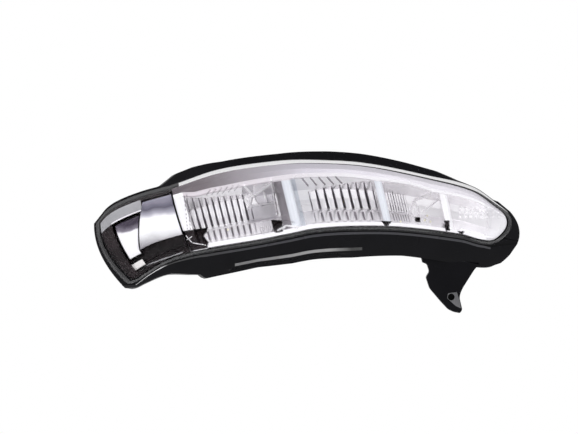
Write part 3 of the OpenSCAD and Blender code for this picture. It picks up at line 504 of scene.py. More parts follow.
# Housing
TUB_V = [0.005, 0.02, 0.045, 0.07, 0.11, 0.16, 0.24, 0.33, 0.42, 0.5, 0.58, 0.67, 0.76, 0.84, 0.89, 0.93,
         0.96, 0.98, 0.995]
EDGE_FLANGE, END_FLANGE = 1.0, 3.2
BENDS = [(0, 0), (0.57, 0), (0.7, 1), (0.8, 1), (0.84, 0), (1, 0)]
LIP, END_LIP, END_RUN = 0.3, 1.0, 8.0
LEDGE = [(0.3, 0.05), (0.33, 1), (0.44, 1), (0.6, 0.7), (0.62, 0.05), (1, 0.05)]
LEDGE_START, LEDGE_STOP = 0.3, 0.62
# Rows counted from the foot of the tub's front that carry the ledge's painted sheen and the lip's painted
# glint
LEDGE_ROW, LIP_ROW = 4, 6
EDGE_MARGIN, EDGE_START, EDGE_GAP, SKIRT_GAP, SKIRT_START = 0.05, -0.06, 0.005, 0.004, 0.1
SEAT_DROP, END_STEP, END_SEAT, CAVITY_ABOVE_SKIRT, BACK_ABOVE_SKIRT = 0.4, 0.4, 0.2, 1.5 * TUB_WALL, 0.5


def ledge(x):
    return LEDGE_H * line(LEDGE, max(LEDGE_START, x / LENS_L))


def skirt_y(x, s):
    """Depth of the skirt behind the rim at share s of its height."""
    return mix(-LIP_H, SKIRT_BACK * skirt_h(x) / DEEPEST, s) - SEAL_H


def end_station(u, skirt):
    """Line across the whole end of the housing, from flange to skirt."""
    return Station(u, EDGE_FLANGE, EDGE_FLANGE, flange_h(Station(u).x0), skirt + LIP, END_FLANGE)


def lens_share(u, skirt):
    """Share of the end line that lies beside the lens."""
    edge = end_station(u, skirt)
    return 1 - (skirt + LIP - END_LIP) / (edge.z0 - edge.z1)


def cavity_column(u, at_edge):
    """Front of the housing at share u: flange, seat, cavity, lip and skirt, or the flat end."""
    middle = Station(u)
    skirt = skirt_h(middle.x1)
    low = min(1, u * LENS_L / END_RUN, (1 - u) * LENS_L / END_RUN)
    if at_edge:
        share = lens_share(u, skirt)
        edge = end_station(u, skirt)
        edge_v = [EDGE_START, 0] + TUB_V + [1, 1.01, 1.02]
        rows = [(mix(EDGE_MARGIN, share - EDGE_MARGIN, v), 0) for v in edge_v]
        rows += [(share - EDGE_GAP, 0), (share, skirt_y(LENS_L, 0))]
        rows += [(mix(share + SKIRT_GAP, 1, s), skirt_y(middle.x1, s)) for s, _ in BENDS]
        return [(x, rim_y(x) + SEAL_H + y, z) for v, y in rows for x, z in [edge.point(v)]]
    deep = swell(u, END_ROUND)
    drop = mix(-SEAT_W - SEAT_DROP, skirt - CAVITY_ABOVE_SKIRT, low)
    lip = mix(END_LIP, LIP, low)
    rows = [(0, flange_h(middle.x0), 0, 0, 0), (0, -SEAT_W, 0, 0, 0)]
    rows += [(v, -SEAT_W, drop, swell(v, TUB_ROUND) * deep, 0) for v in TUB_V]
    rows += [(1, -SEAT_W, drop, 0, mix(END_STEP, FLANGE_T + SKIRT_BACK * skirt / DEEPEST, low)),
             (1, -SEAT_W, -SEAT_W, 0, mix(END_SEAT, FLANGE_T, low)), (1, -SEAT_W, -SEAT_W, 0, 0),
             (1, -SEAT_W, lip, 0, 0), (1, -SEAT_W, lip, 0, skirt_y(LENS_L, 0))]
    rows += [(1, -SEAT_W, lip + mix(SKIRT_START, 1, s) * (skirt + LIP - lip), 0,
              skirt_y(middle.x1, s) - out * ledge(middle.x1)) for s, out in BENDS]
    column = []
    for v, up, down, share, add in rows:
        x, z = Station(u, -SEAT_W, -SEAT_W, up, down).point(v)
        column.append((x, mix(rim_y(x) + SEAL_H, floor_y(x), share) + add, z))
    return column


def outside_column(u, at_edge):
    """Back of the housing at share u."""
    middle = Station(u)
    skirt = skirt_h(middle.x1)
    back = SKIRT_BACK * skirt / DEEPEST
    if at_edge:
        share = lens_share(u, skirt)
        edge = end_station(u, skirt)
        rows = [mix(EDGE_MARGIN, share - EDGE_MARGIN, v) for v in [EDGE_START, 0] + TUB_V] + [share, 1]
        return [(x, rim_y(x) + SEAL_H + FLANGE_T + v * back, z) for v in rows for x, z in [edge.point(v)]]
    deep = swell(u, END_ROUND)
    rows = [(0, flange_h(middle.x0), 0, 0), (0, -LENS_WALL, 0, 0)]
    back_drop = skirt - BACK_ABOVE_SKIRT
    rows += [(v, -LENS_WALL, back_drop, swell(v, TUB_ROUND) * deep) for v in TUB_V]
    rows += [(1, -LENS_WALL, back_drop, 0), (1, -LENS_WALL, skirt + LIP, 0)]
    column = []
    for v, up, down, share in rows:
        x, z = Station(u, -LENS_WALL, -LENS_WALL, up, down).point(v)
        column.append((x, mix(rim_y(x) + SEAL_H + FLANGE_T + v * back, floor_y(x) + TUB_WALL, share), z))
    return column


def make_tub():
    us = spread(140, 0.9)
    columns = [(0, True)] + [(u, False) for u in us] + [(1, True)]
    times = [-0.1] + us + [1.1]
    cavity_v = [-0.1, 0] + TUB_V + [1 + 0.018 * k for k in range(11)]
    outside_v = [-0.1, 0] + TUB_V + [1.06, 1.18]
    points, faces = skins([cavity_column(*c) for c in columns], [outside_column(*c) for c in columns],
                          times, times, cavity_v, outside_v)
    looks = np.zeros((len(times) - 1, len(cavity_v) - 1), int)
    # Painted glint on the lip's row and painted sheen on the ledge's row
    looks[1:len(us), -LIP_ROW] = 2
    looks[[i for i in range(1, len(us)) if LEDGE_START < us[i] < LEDGE_STOP], -LEDGE_ROW] = 1
    mesh_piece("housing_tub", points, faces, BLACK, ["housing"], 35, (LEDGE_PAINTED_SHEEN, LIP_PAINTED_GLINT),
               front_pick(looks, faces))


# Bracket leg and pegs
LEG_OUTER = [(-0.53, 0), (-0.43, 0.04), (-0.39, 0.17), (-0.45, 0.27), (-0.385, 0.47)]
LEG_FOOT = [(-0.2, 0.69), (-0.05, 0.85), (0.04, 0.89), (0.16, 0.915), (0.2, 0.85), (0.15, 0.64),
            (0.165, 0.56)]
LEG_INNER = [(0.21, 0.46), (0.32, 0.285), (0.42, 0.13)]
LEG_ROOT = [0.5, 0.3, 0, -0.3, -0.55]
ROOT_IN, CORNER_R, LEG_BEVEL = 1.5, 0.9, 0.35
CIRCLE_SIDES = 48


def leg_point(p):
    return HOLE_X + p[0] * LEG_W, LEG_TOP - p[1] * LEG_L


def rounded(outline, radius, steps=4):
    """Closed outline with each corner cut back by at most the radius and bowed."""
    out = []
    n = len(outline)
    for i in range(n):
        a, b, c = (np.array(outline[k % n], float) for k in (i - 1, i, i + 1))
        la, lc = np.linalg.norm(a - b), np.linalg.norm(c - b)
        r = min(radius, la * 0.45, lc * 0.45)
        p, q = b + (a - b) / la * r, b + (c - b) / lc * r
        out += [tuple((1 - t) ** 2 * p + 2 * t * (1 - t) * b + t * t * q)
                for t in np.linspace(0, 1, steps + 1)]
    return out


def circle(x, z, d):
    turns = [2 * math.pi * k / CIRCLE_SIDES for k in range(CIRCLE_SIDES)]
    return [(x + d / 2 * math.cos(turn), z + d / 2 * math.sin(turn)) for turn in turns]


def prism(name, loops, y0, y1, material, bevel=LEG_BEVEL):
    """Plate cut from outlines in X and Z; the first is its edge and the others are openings."""
    curve_data = bpy.data.curves.new(name, "CURVE")
    curve_data.dimensions = "2D"
    curve_data.fill_mode = "BOTH"
    for loop in loops:
        spline = curve_data.splines.new("POLY")
        spline.points.add(len(loop) - 1)
        for point, (x, z) in zip(spline.points, loop):
            point.co = ((x - HOLE_X) / 1000, (z - HOLE_Z) / 1000, 0, 1)
        spline.use_cyclic_u = True
    curve_data.extrude = (y1 - y0) / 2000 - bevel / 1000
    curve_data.bevel_depth = bevel / 1000
    curve_data.bevel_resolution = 2
    curve_data.offset = -bevel / 1000
    piece = bpy.data.objects.new(name, curve_data)
    piece.rotation_euler = (math.pi / 2, 0, 0)
    piece.location = (0, ((y0 + y1) / 2 - LEG_Y) / 1000, 0)
    curve_data.materials.append(material)
    link(piece)
    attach(piece, "root")
    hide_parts("housing")


def moved_in(p, d):
    """Outline moved inwards by a wall."""
    out = []
    for i in range(len(p)):
        a, b, c = (np.array(p[k % len(p)], float) for k in (i - 1, i, i + 1))
        way = (b - a) / np.linalg.norm(b - a) + (c - b) / np.linalg.norm(c - b)
        out.append(tuple(b + d * np.array([-way[1], way[0]]) / (way @ way / 2)))
    return out


FOOT_FACE = [(176.4, -40.6), (176.9, -38.1), (181.4, -37.6), (182.9, -42.6), (183.4, -45.8), (180.6, -44.4)]
HOLE_DEPTH, FOOT_PROUD, FOOT_SUNK, FOOT_CORNER_R, FOOT_BEVEL = 7.0, 0.25, 0.1, 0.5, 0.1


def make_leg():
    root_x = [HOLE_X + f * LEG_W for f in LEG_ROOT]
    root = [(x, bottom_z(x) - skirt_h(x) + ROOT_IN) for x in root_x]
    # The arcs at both open ends are left out up to their middles
    outline = rounded([leg_point(p) for p in LEG_OUTER + LEG_FOOT + LEG_INNER], CORNER_R)[3:-3] + root
    hollow = moved_in([leg_point(p) for p in LEG_OUTER[1:] + LEG_INNER] + [root[-1]], LEG_WALL)
    hole = circle(HOLE_X, HOLE_Z, HOLE_D)
    prism("leg_plate", [outline, hole], LEG_Y, LEG_Y + LEG_WALL, BLACK)
    prism("leg_walls", [outline, hollow, hole], LEG_Y + LEG_WALL, LEG_Y + HOLE_DEPTH, BLACK, 0)
    prism("leg_back", [outline, hollow], LEG_Y + HOLE_DEPTH, LEG_Y + LEG_T, BLACK)
    prism("foot_face", [rounded(FOOT_FACE, FOOT_CORNER_R), hole], LEG_Y - FOOT_PROUD, LEG_Y + FOOT_SUNK,
          FOOT_LOOK, FOOT_BEVEL)


PEG_AT, PEG_V, PEG_ROOT = (0.37, 0.86), 0.36, 0.5


def rod(name, x, z, y0, y1, d):
    n = CIRCLE_SIDES
    ring = circle(x, z, d)
    points = [(a, y0, b) for a, b in ring] + [(a, y1, b) for a, b in ring]
    faces = [(k, (k + 1) % n, n + (k + 1) % n, n + k) for k in range(n)]
    faces += [tuple(range(n))[::-1], tuple(range(n, 2 * n))]
    mesh_piece(name, points, faces, BLACK, ["housing"], 40)


def make_pegs():
    back = TUB_DEPTH + TUB_WALL
    for k, f in enumerate(PEG_AT):
        x, z = Station(f).point(PEG_V)
        rod(f"peg_shoulder_{k}", x, z, TUB_DEPTH + PEG_ROOT, back + PEG_STEP, PEG_D + 2 * SHOULDER_W)
        rod(f"peg_{k}", x, z, TUB_DEPTH + PEG_ROOT, back + PEG_STEP + PEG_L, PEG_D)


# Reflector
PILLAR_W, CELL_SHARES = (5.0, 8.4, 3.8, 3.7), (0.304, 0.291, 0.199, 0.206)
STRIP_W, WALL_W, PLAIN_W, PILLAR_H = 4.2, 0.8, 7.5, 1.4
BOARD_BACK, SEAT_AIR = 7.0, 0.05
CELL_Y = TUB_DEPTH - BOARD_BACK - LED_H - REFLECTOR_WALL + 0.4
SEAT_Y = SEAL_H - SEAT_AIR
SEAT_IN = SEAT_W - INSET_W + 0.2
REFLECTOR_END = TIP_X - INSET_W
CELL_W = [share * (REFLECTOR_END - REFLECTOR_X - sum(PILLAR_W)) for share in CELL_SHARES]
REFLECTOR_STEP = 0.36


def pillar_x(i):
    return REFLECTOR_X + sum(PILLAR_W[:i]) + sum(CELL_W[:i])


def cell_x(i):
    return pillar_x(i) + PILLAR_W[i]


def inner_line(x):
    """Line across the inside of the lens that leaves its top edge at x."""
    return Station((x - INSET_W) / (TIP_X - 2 * INSET_W), -INSET_W, -INSET_W, -INSET_W, -INSET_W)


def room(x):
    """Room in front of the rim, as a share of that at mid length."""
    u = clamp((x - INSET_W) / (TIP_X - 2 * INSET_W))
    return (bulge(u) - LENS_WALL) / (LENS_BULGE - LENS_WALL) * swell(u, END_ROUND)


FLUTES = [(cell_x(0) + WALL_W, math.floor(0.7 * CELL_W[0] / FLUTE_A), FLUTE_A, 0.8),
          (cell_x(1) + PLAIN_W, math.floor((CELL_W[1] - PLAIN_W) / FLUTE_B), FLUTE_B, 1.0),
          (cell_x(2) + WALL_W, math.floor(0.4 * CELL_W[2] / FLUTE_C), FLUTE_C, 0.4)]
END_CELL = REFLECTOR_END - cell_x(3)
DEPTH_ALONG = [(pillar_x(0), 0), (cell_x(0), 0), (cell_x(0) + WALL_W, 1), (pillar_x(1), 1),
               (pillar_x(1) + STRIP_W, 0), (cell_x(1), 0), (cell_x(1) + WALL_W, 1),
               (pillar_x(2) - WALL_W, 1), (pillar_x(2), 0), (cell_x(2), 0), (cell_x(2) + WALL_W, 1),
               (pillar_x(3) - WALL_W, 1), (pillar_x(3), 0), (cell_x(3), 0),
               (cell_x(3) + 0.03 * END_CELL, 0.7), (cell_x(3) + 0.7 * END_CELL, 0.5),
               (cell_x(3) + 0.9 * END_CELL, 0), (REFLECTOR_END, 0)]
# The front from its top to its foot: stand before the rim, depth of the cells and strength of the flutes
FRONT_STAND = [(0, 0.8), (0.035, 2.2), (0.08, 4.2), (0.145, 5), (0.152, 5.8), (0.205, 5.8), (0.215, 5),
               (0.3, 4.6), (0.4, 4.4), (0.55, 4.2), (0.735, 4.2), (0.905, 4.4), (0.925, 4.5), (0.985, 3.6),
               (1, 0.8)]
FRONT_DEPTH = [(0, 0), (0.205, 0), (0.215, 0.05), (0.3, 0.5), (0.4, 0.93), (0.55, 1), (0.715, 0.95),
               (0.735, 0.8), (0.905, 0.15), (0.925, 0), (1, 0)]
FRONT_FLUTE = [(0, 0), (0.2, 0), (0.24, 1), (0.7, 1), (0.715, 0), (0.75, 0), (0.765, 0.9), (0.89, 0.7),
               (0.905, 0), (1, 0)]
# Foot of the upper band, as a share across, along the length, and how far the rows around it move with it
BAND_AT = 0.152
BAND = [(0.18, 0.1), (0.205, 0.105), (0.235, 0.165), (0.3, 0.187), (0.39, 0.173), (0.44, 0.165),
        (0.53, 0.155), (0.59, 0.142), (0.66, 0.158), (0.75, 0.13), (0.8, 0.175), (0.9, 0.16), (1, 0.152)]
BAND_MOVE = [(0, 0), (0.08, 0), (0.14, 1), (0.22, 1), (0.4, 0), (1, 0)]


def between(lo, hi, n):
    return [mix(lo, hi, i / n) for i in range(1, n)]


FRONT_T = ([0, 0.01, 0.035, 0.055, 0.08, 0.1, 0.12, 0.135, 0.145, 0.152, 0.158, 0.17, 0.185, 0.2, 0.205]
           + [0.21, 0.215] + between(0.215, 0.4, 22) + [0.4] + between(0.4, 0.715, 38)
           + [0.715, 0.72, 0.725, 0.73, 0.735] + between(0.735, 0.905, 20)
           + [0.905, 0.91, 0.915, 0.92, 0.925, 0.935, 0.95, 0.965, 0.985, 0.99, 1])


def bump(x):
    """Roundness of the pillars at x."""
    for i, (a, b) in enumerate(((pillar_x(0), cell_x(0)), (pillar_x(1) + STRIP_W, cell_x(1)),
                                (pillar_x(2), cell_x(2)), (pillar_x(3), cell_x(3)))):
        if a < x < b:
            return math.sin(math.pi * (x - a) / (b - a))
    return 0.0


def fluting(x):
    """Crown of the flute at x as a share of the widest, way to the next groove, and number of the stretch."""
    for i, (start, count, pitch, share) in enumerate(FLUTES):
        if start < x < start + count * pitch:
            away_by = min((x - start) % pitch, (start - x) % pitch)
            return share * math.sin(math.pi * away_by / pitch), away_by, i
    return 0.0, FLUTE_B, -1


# Half width and depth of the grooves of each stretch, and how their width and the flutes' tops run
GROOVE_HALF, GROOVE_DEPTH = [0.52, 0.68, 0.26], [1.3, 1.5, 0.6]
GROOVE_NARROW, GROOVE_WIDE, GROOVE_RUN, GROOVE_SHOWN = 0.7, 1.25, 0.4, 0.12
FLUTE_TOP_RUN, CROWN_SHARE, EDGE_STAND = 0.02, 0.32, 0.2
# Heights of the tops of the flutes, as shares across, along each stretch
FLUTE_TOPS = [[(0, 0.2), (0.35, 0.27), (1, 0.34)], [(0, 0.42), (1, 0.22)], [(0, 0.3), (1, 0.4)]]
# Details of the cells in millimetres along and up; ridges and grooves have two ends, half width and height
RIDGES = [((75.3, 15.3), (79.9, 10.4), 0.9, 1.1), ((79.9, 10.4), (87.9, 16.2), 0.9, 1.1),
          ((88.4, 18.5), (91.2, 1.2), 0.7, 1.4), ((78.0, 5.4), (90.2, 7.2), 0.6, 0.8),
          ((84.8, 12.2), (86.2, 7.8), 0.9, 1.0), ((78.6, 10.0), (77.6, 5.6), 0.9, 1.0),
          ((169.0, 12.2), (160.4, 8.5), 0.7, 1.0), ((182.9, -6.0), (198.9, -10.3), 0.5, 0.7),
          ((165.0, 3.0), (172.0, 9.0), 0.5, 0.5), ((91.8, -6.6), (96.0, -4.3), 0.9, 1.2),
          ((96.0, -4.3), (101.6, -4.9), 0.9, 1.2), ((158.0, 1.6), (160.2, 7.4), 1.0, 0.8),
          ((160.2, 7.4), (162.4, 2.4), 1.0, 0.8), ((45.2, -12.2), (48.9, -9.8), 0.5, 0.8),
          ((46.0, -9.4), (49.0, -12.8), 0.5, 0.8), ((49.0, -12.8), (56.6, -14.2), 0.5, 0.6),
          ((75.0, 8.6), (78.4, 5.0), 1.2, 0.8)]


def fan(a, b, pitch, rise_a, rise_b, count, half, depth):
    """Row of like lines at one pitch whose ends climb from line to line."""
    return [((a[0] + pitch * k, a[1] + rise_a * k), (b[0] + pitch * k, b[1] + rise_b * k), half, depth)
            for k in range(count)]


GROOVES = (fan((56.0, 10.6), (58.4, 13.4), 2.8, 0.45, 0.45, 6, 0.4, 0.8)
           + fan((107.0, 15.6), (103.8, 19.2), 4.2, 0.3, 0.15, 5, 0.7, 0.9)
           + fan((83.4, -4.8), (83.9, -9.0), 0.95, 0.15, 0.2, 6, 0.3, 0.6)
           + [((201.4, -11.3), (205.0, -8.6), 0.6, 1.0), ((45.2, 10.5), (46.9, -7.0), 0.35, 0.5),
              ((46.4, 11.1), (48.5, -7.8), 0.35, 0.5), ((89.2, -7.0), (91.2, -3.4), 0.5, 0.9),
              ((91.2, -3.4), (95.6, -2.0), 0.5, 0.9), ((95.6, -2.0), (99.8, -2.6), 0.4, 0.8)])
OPENINGS = [[(43.4, -7.2), (48.9, -6.4), (56.4, -5.5), (56.2, -7.5), (54.4, -9.5), (57.2, -12.6),
             (56.4, -16.5), (45.8, -17.5)],
            [(88.6, -1.6), (94.0, -1.8), (94.4, -7.2), (90.0, -7.6)],
            [(143.2, -2.0), (148.4, -2.2), (145.6, -4.8)],
            [(181.2, -7.0), (184.8, -7.2), (183.6, -8.8)],
            [(174.6, -1.6), (177.2, -1.8), (177.4, -6.6), (175.4, -6.8)],
            [(160.4, -0.2), (162.8, -0.2), (162.8, -2.6), (160.4, -2.6)]]
FACETS = [[(73.9, 15.3), (79.8, 16.0), (79.4, 11.4), (73.9, 11.0)],
          [(79.8, 10.5), (89.2, 17.2), (89.9, 8.2), (84.1, 5.3), (81.2, 7.5)],
          [(76.5, 4.6), (90.6, 7.2), (91.3, -0.5), (77.6, -3.4)]]
GLOWS = [(66.9, -6.3, 0.8), (165.2, -1.6, 0.8), (166.6, 0.6, 0.7), (168.0, -2.4, 0.7), (153.0, -2.2, 0.6)]
DOTS = [(183.0 + 2.7 * k, 4.3 - 2.1 * j, 0.75, 0.45) for j in range(3) for k in range(8)]
FACET_DEPTH, OPENING_DEPTH, OPENING_WALL = 0.5, 2.5, 0.2
# Share of each detail's half width that its painted colour covers: painted highlight on ridges and dots,
# painted shade along grooves
RIDGE_SHOWN, LINE_SHOWN, DOT_SHOWN = 0.75, 0.8, 0.7


def away(points, a, b):
    """Distance of each point from the line between a and b."""
    a, b = np.array(a), np.array(b)
    t = np.clip((points - a) @ (b - a) / ((b - a) @ (b - a)), 0, 1)
    return np.linalg.norm(points - a - t[..., None] * (b - a), axis=-1)


def inside(points, outline):
    """Whether each point lies in an outline."""
    x, z = points[..., 0], points[..., 1]
    hit = np.zeros(x.shape, bool)
    for (x0, z0), (x1, z1) in zip(outline, outline[1:] + outline[:1]):
        crosses = (z0 > z) != (z1 > z)
        hit ^= crosses & (x < (x1 - x0) * (z - z0) / (z1 - z0 + 1e-9) + x0)
    return hit


def front_grid(xs):
    """Points of the reflector's front, and which of them lie in the grooves of the flutes, where shade is
    painted.
    """
    grid = np.zeros((len(xs), len(FRONT_T), 3))
    groove_shade = np.zeros((len(xs), len(FRONT_T)), bool)
    for i, x in enumerate(xs):
        across = inner_line(x)
        shift = line(BAND, x / LENS_L) - BAND_AT
        edge = EDGE_STAND if x == REFLECTOR_X else 1.0
        crown, groove_away, stretch = fluting(x)
        top = 0.0
        if stretch >= 0:
            start, count, pitch, _ = FLUTES[stretch]
            top = line(FLUTE_TOPS[stretch], (x - start) / (count * pitch))
        along = line(DEPTH_ALONG, x)
        for j, t in enumerate(FRONT_T):
            px, pz = across.point(t + shift * line(BAND_MOVE, t))
            share = line(FRONT_DEPTH, t)
            raise_by = PILLAR_H * bump(x) if share > 0 else 0.0
            frame_y = rim_y(px) - (line(FRONT_STAND, t) + raise_by) * room(x) * edge
            y = mix(frame_y, CELL_Y, share * along)
            if stretch >= 0:
                weight = line(FRONT_FLUTE, t) * ramp(t, top, top + FLUTE_TOP_RUN)
                wide = mix(GROOVE_NARROW, GROOVE_WIDE, clamp((t - top) / GROOVE_RUN))
                half = GROOVE_HALF[stretch] * wide
                cut = clamp(1 - groove_away / half) * weight
                y += GROOVE_DEPTH[stretch] * cut - CROWN_SHARE * FLUTE_H * crown * weight
                groove_shade[i, j] = cut > GROOVE_SHOWN
            grid[i, j] = px, y, pz
    return grid, groove_shade


def add_details(grid, groove_shade):
    """Adds the details to the front's points, and returns which points each look covers."""
    flat = grid[..., [0, 2]]
    white, glow, facet, opening = (np.zeros_like(groove_shade) for _ in range(4))
    for a, b, half, height in RIDGES:
        near = away(flat, a, b)
        grid[..., 1] -= height * np.clip(1 - near / half, 0, 1)
        white |= near < RIDGE_SHOWN * half
    for a, b, half, depth in GROOVES:
        near = away(flat, a, b)
        grid[..., 1] += depth * np.clip(1 - near / half, 0, 1)
        groove_shade |= near < LINE_SHOWN * half
    for x, z, r, height in DOTS:
        d = np.hypot(flat[..., 0] - x, flat[..., 1] - z)
        grid[..., 1] -= height * np.sqrt(np.clip(1 - (d / r) ** 2, 0, 1))
        white |= d < DOT_SHOWN * r
    for outline in FACETS:
        within = inside(flat, outline)
        grid[..., 1] += FACET_DEPTH * within
        facet |= within
    for x, z, r in GLOWS:
        glow |= np.hypot(flat[..., 0] - x, flat[..., 1] - z) < r
    for outline in OPENINGS:
        opening |= inside(flat, outline)
    deepest = CELL_Y + REFLECTOR_WALL - OPENING_WALL
    grid[..., 1] = np.where(opening, np.minimum(grid[..., 1] + OPENING_DEPTH, deepest), grid[..., 1])
    return {"white": white, "opening": opening, "groove_shade": groove_shade, "glow": glow, "facet": facet}


def back_column(x, share):
    across = inner_line(x)
    e = SEAT_IN / (across.z0 - across.z1)
    rows = [(0, 0), (e, 0), (mix(e, 0.5, 0.2), 0.5), (mix(e, 0.5, 0.4), 1), (0.5, 1),
            (mix(1 - e, 0.5, 0.4), 1), (mix(1 - e, 0.5, 0.2), 0.5), (1 - e, 0), (1, 0)]
    column = []
    for v, deep in rows:
        px, pz = across.point(v)
        column.append((px, mix(rim_y(px) + SEAT_Y, CELL_Y + REFLECTOR_WALL, deep * share), pz))
    return column


REFLECTOR_LOOKS = {"plated": METALLISED, "band": BAND_PAINTED_SHADING, "opening": TRAY, "groove_shade": GROOVE_PAINTED_SHADE,
                   "pillar": PILLAR_LOOK, "white": PALE_AND_HIGHLIGHT_LOOK, "glow": GLOW_LOOK, "facet": FACET_LOOK,
                   "rim": RIM_PAINTED_SHADING, "end": END_LOOK}
BAND_END, LOW_LIP, RIM_ROWS = 0.145, 0.925, 8
END_FROM, STRIP_EDGE, PILLAR_MORE = 193.5, 0.5, 2.4
BRIGHT_PAST, BRIGHT_DOWN = 0.5, 0.62
NEAR_GROOVE, LEAST_STEP = (-0.5, -0.25, 0.25, 0.5), 0.1
BACK_V = [0, 0.07, 0.17, 0.25, 0.5, 0.75, 0.83, 0.93, 1]


def bright_part(x, t):
    """Parts of the first two cells painted white as a highlight: over the flutes and, in the second, before
    them.
    """
    for cell in (0, 1):
        start, count, pitch = FLUTES[cell][:3]
        if cell_x(cell) <= x < start + count * pitch + BRIGHT_PAST:
            over = t < line(FLUTE_TOPS[cell], clamp((x - start) / (count * pitch)))
            return over or (cell == 1 and x < start and t < BRIGHT_DOWN)
    return False


def reflector_stations():
    """Stations of the front: at its bends and around its grooves, and at even steps between them."""
    grooves = [start + k * pitch for start, count, pitch, _ in FLUTES for k in range(count + 1)]
    marks = [x for x, _ in DEPTH_ALONG] + grooves + [x + d for x in grooves for d in NEAR_GROOVE]
    n = int((REFLECTOR_END - REFLECTOR_X) / REFLECTOR_STEP)
    even = [mix(REFLECTOR_X, REFLECTOR_END, k / n) for k in range(1, n)]
    return sorted(set(marks + [x for x in even if min(abs(x - m) for m in marks) > LEAST_STEP]))


def reflector_back():
    xs = ([REFLECTOR_X, REFLECTOR_X + 1.5] + [mix(REFLECTOR_X, REFLECTOR_END, 0.04 * k) for k in range(1, 24)]
          + [REFLECTOR_END - SEAT_IN - 5, REFLECTOR_END - SEAT_IN - 3, REFLECTOR_END])
    flat = (0, len(xs) - 2, len(xs) - 1)
    return xs, [back_column(x, 0 if i in flat else 1) for i, x in enumerate(xs)]


def reflector_looks(xs, marks):
    """Look of each front face, by the first rule that holds for it."""
    band_end, low_lip = FRONT_T.index(BAND_END), FRONT_T.index(LOW_LIP)
    x, row = np.array(xs[:-1])[:, None], np.arange(len(FRONT_T) - 1)
    covered = {name: corners(marked).all(axis=0) for name, marked in marks.items()}
    bright = np.array([[bright_part(at, t) for t in FRONT_T[:-1]] for at in xs[:-1]])
    below_band = (row > band_end) & (row < low_lip)
    in_cells = (row > band_end + RIM_ROWS) & (row < low_lip)
    strip_end = pillar_x(1) + STRIP_W - STRIP_EDGE
    blue = ((strip_end <= x) & (x < cell_x(1) + PILLAR_MORE)) | ((pillar_x(2) <= x) & (x < cell_x(2)))
    pale = (x < cell_x(0)) | ((pillar_x(3) <= x) & (x < cell_x(3)))
    rules = [("white", covered["white"]), ("opening", covered["opening"]), ("band", row < band_end),
             ("groove_shade", covered["groove_shade"]), ("glow", covered["glow"]), ("facet", covered["facet"]),
             ("end", (row > band_end) & (x > END_FROM)),
             ("rim", (band_end <= row) & (row <= band_end + RIM_ROWS) & (x >= cell_x(0))),
             ("pillar", in_cells & blue), ("white", in_cells & bright), ("white", below_band & pale),
             # Painted shadow strip at the left of the second pillar
             ("groove_shade", in_cells & (pillar_x(1) <= x) & (x < strip_end))]
    names = list(REFLECTOR_LOOKS)
    return np.select([np.broadcast_to(holds, bright.shape) for _, holds in rules],
                     [names.index(name) for name, _ in rules])


def make_reflector():
    xs = reflector_stations()
    grid, groove_shade = front_grid(xs)
    marks = add_details(grid, groove_shade)
    back_x, back = reflector_back()
    points, faces = skins([[tuple(p) for p in c] for c in grid], back, xs, back_x, FRONT_T, BACK_V)
    plated, *others = REFLECTOR_LOOKS.values()
    mesh_piece("bright_reflector", points, faces, plated, ["reflector"], 28, others,
               front_pick(reflector_looks(xs, marks), faces))


# End window: tray and light blocks
TRAY_END = REFLECTOR_X - SIDE_GAP
BAY_X = 23.0
BAY_TOP, BAY_FOOT = 23.5, 15.0
# Rows of the tray: height, forward stand, and share of depth beside and within the bay of the larger block
TRAY_ROWS = [(0, 0.8, 0, 0), (0.03, 1.3, 0, 0), (0.045, 1.8, 0, 0), (0.055, 2.2, 0, 1), (0.08, 2.5, 0, 1),
             (0.2, 3.4, 0, 1), (0.225, 3.4, 1, 1), (0.5, 3.4, 1, 1), (0.8, 3.4, 1, 1), (0.93, 2.6, 1, 1),
             (0.945, 2, 0, 0), (0.97, 1.3, 0, 0), (1, 0.8, 0, 0)]
TRAY_SPLIT, TRAY_EDGE_STAND = 6, 0.2
# Raised line along the foot of the window, painted with a highlight: its ends along and up, height and half
# width
TRAY_LINE, TRAY_LINE_H, TRAY_LINE_HALF, TRAY_LINE_SHOWN = ((24.4, -24.6), (44.5, -17.6)), 0.6, 0.5, 0.3
BAY_SIDE, ROOF_FROM, SHELF_FROM, ROOF_TO = 0.3, 0.03, 0.175, 0.195
TRAY_BACK = [10, 15, 20, 26, 31]


def tray_column(x, rows, deep, stand):
    across = inner_line(x)
    column = []
    for t in rows:
        k = max(i for i in range(len(TRAY_ROWS) - 1) if TRAY_ROWS[i][0] <= t)
        a, b = TRAY_ROWS[k], TRAY_ROWS[k + 1]
        f = (t - a[0]) / (b[0] - a[0])
        px, pz = across.point(t)
        side = 2 if x < BAY_X else 3
        front_y = rim_y(px) - mix(a[1], b[1], f) * room(x) * stand
        column.append((px, mix(front_y, rim_y(px) + TRAY_DEPTH, deep * mix(a[side], b[side], f)), pz))
    return column


def tray_back():
    xs = [INSET_W, INSET_W + SEAT_IN + 2, INSET_W + SEAT_IN + 3.2] + TRAY_BACK + [TRAY_END - 1, TRAY_END]
    columns = []
    for i, x in enumerate(xs):
        across = inner_line(x)
        e = SEAT_IN / (across.z0 - across.z1)
        deep = 0 if i < 2 or i == len(xs) - 1 else 1
        column = []
        for v, share in ((0, 0), (e, 0), (e + 0.025, 1), (0.25, 1), (0.5, 1), (0.75, 1), (1 - e - 0.035, 1),
                         (1 - e - 0.015, 0), (1, 0)):
            px, pz = across.point(v)
            column.append((px, rim_y(px) + mix(SEAT_Y, TRAY_DEPTH + TRAY_WALL, share * deep), pz))
        columns.append(column)
    return xs, columns


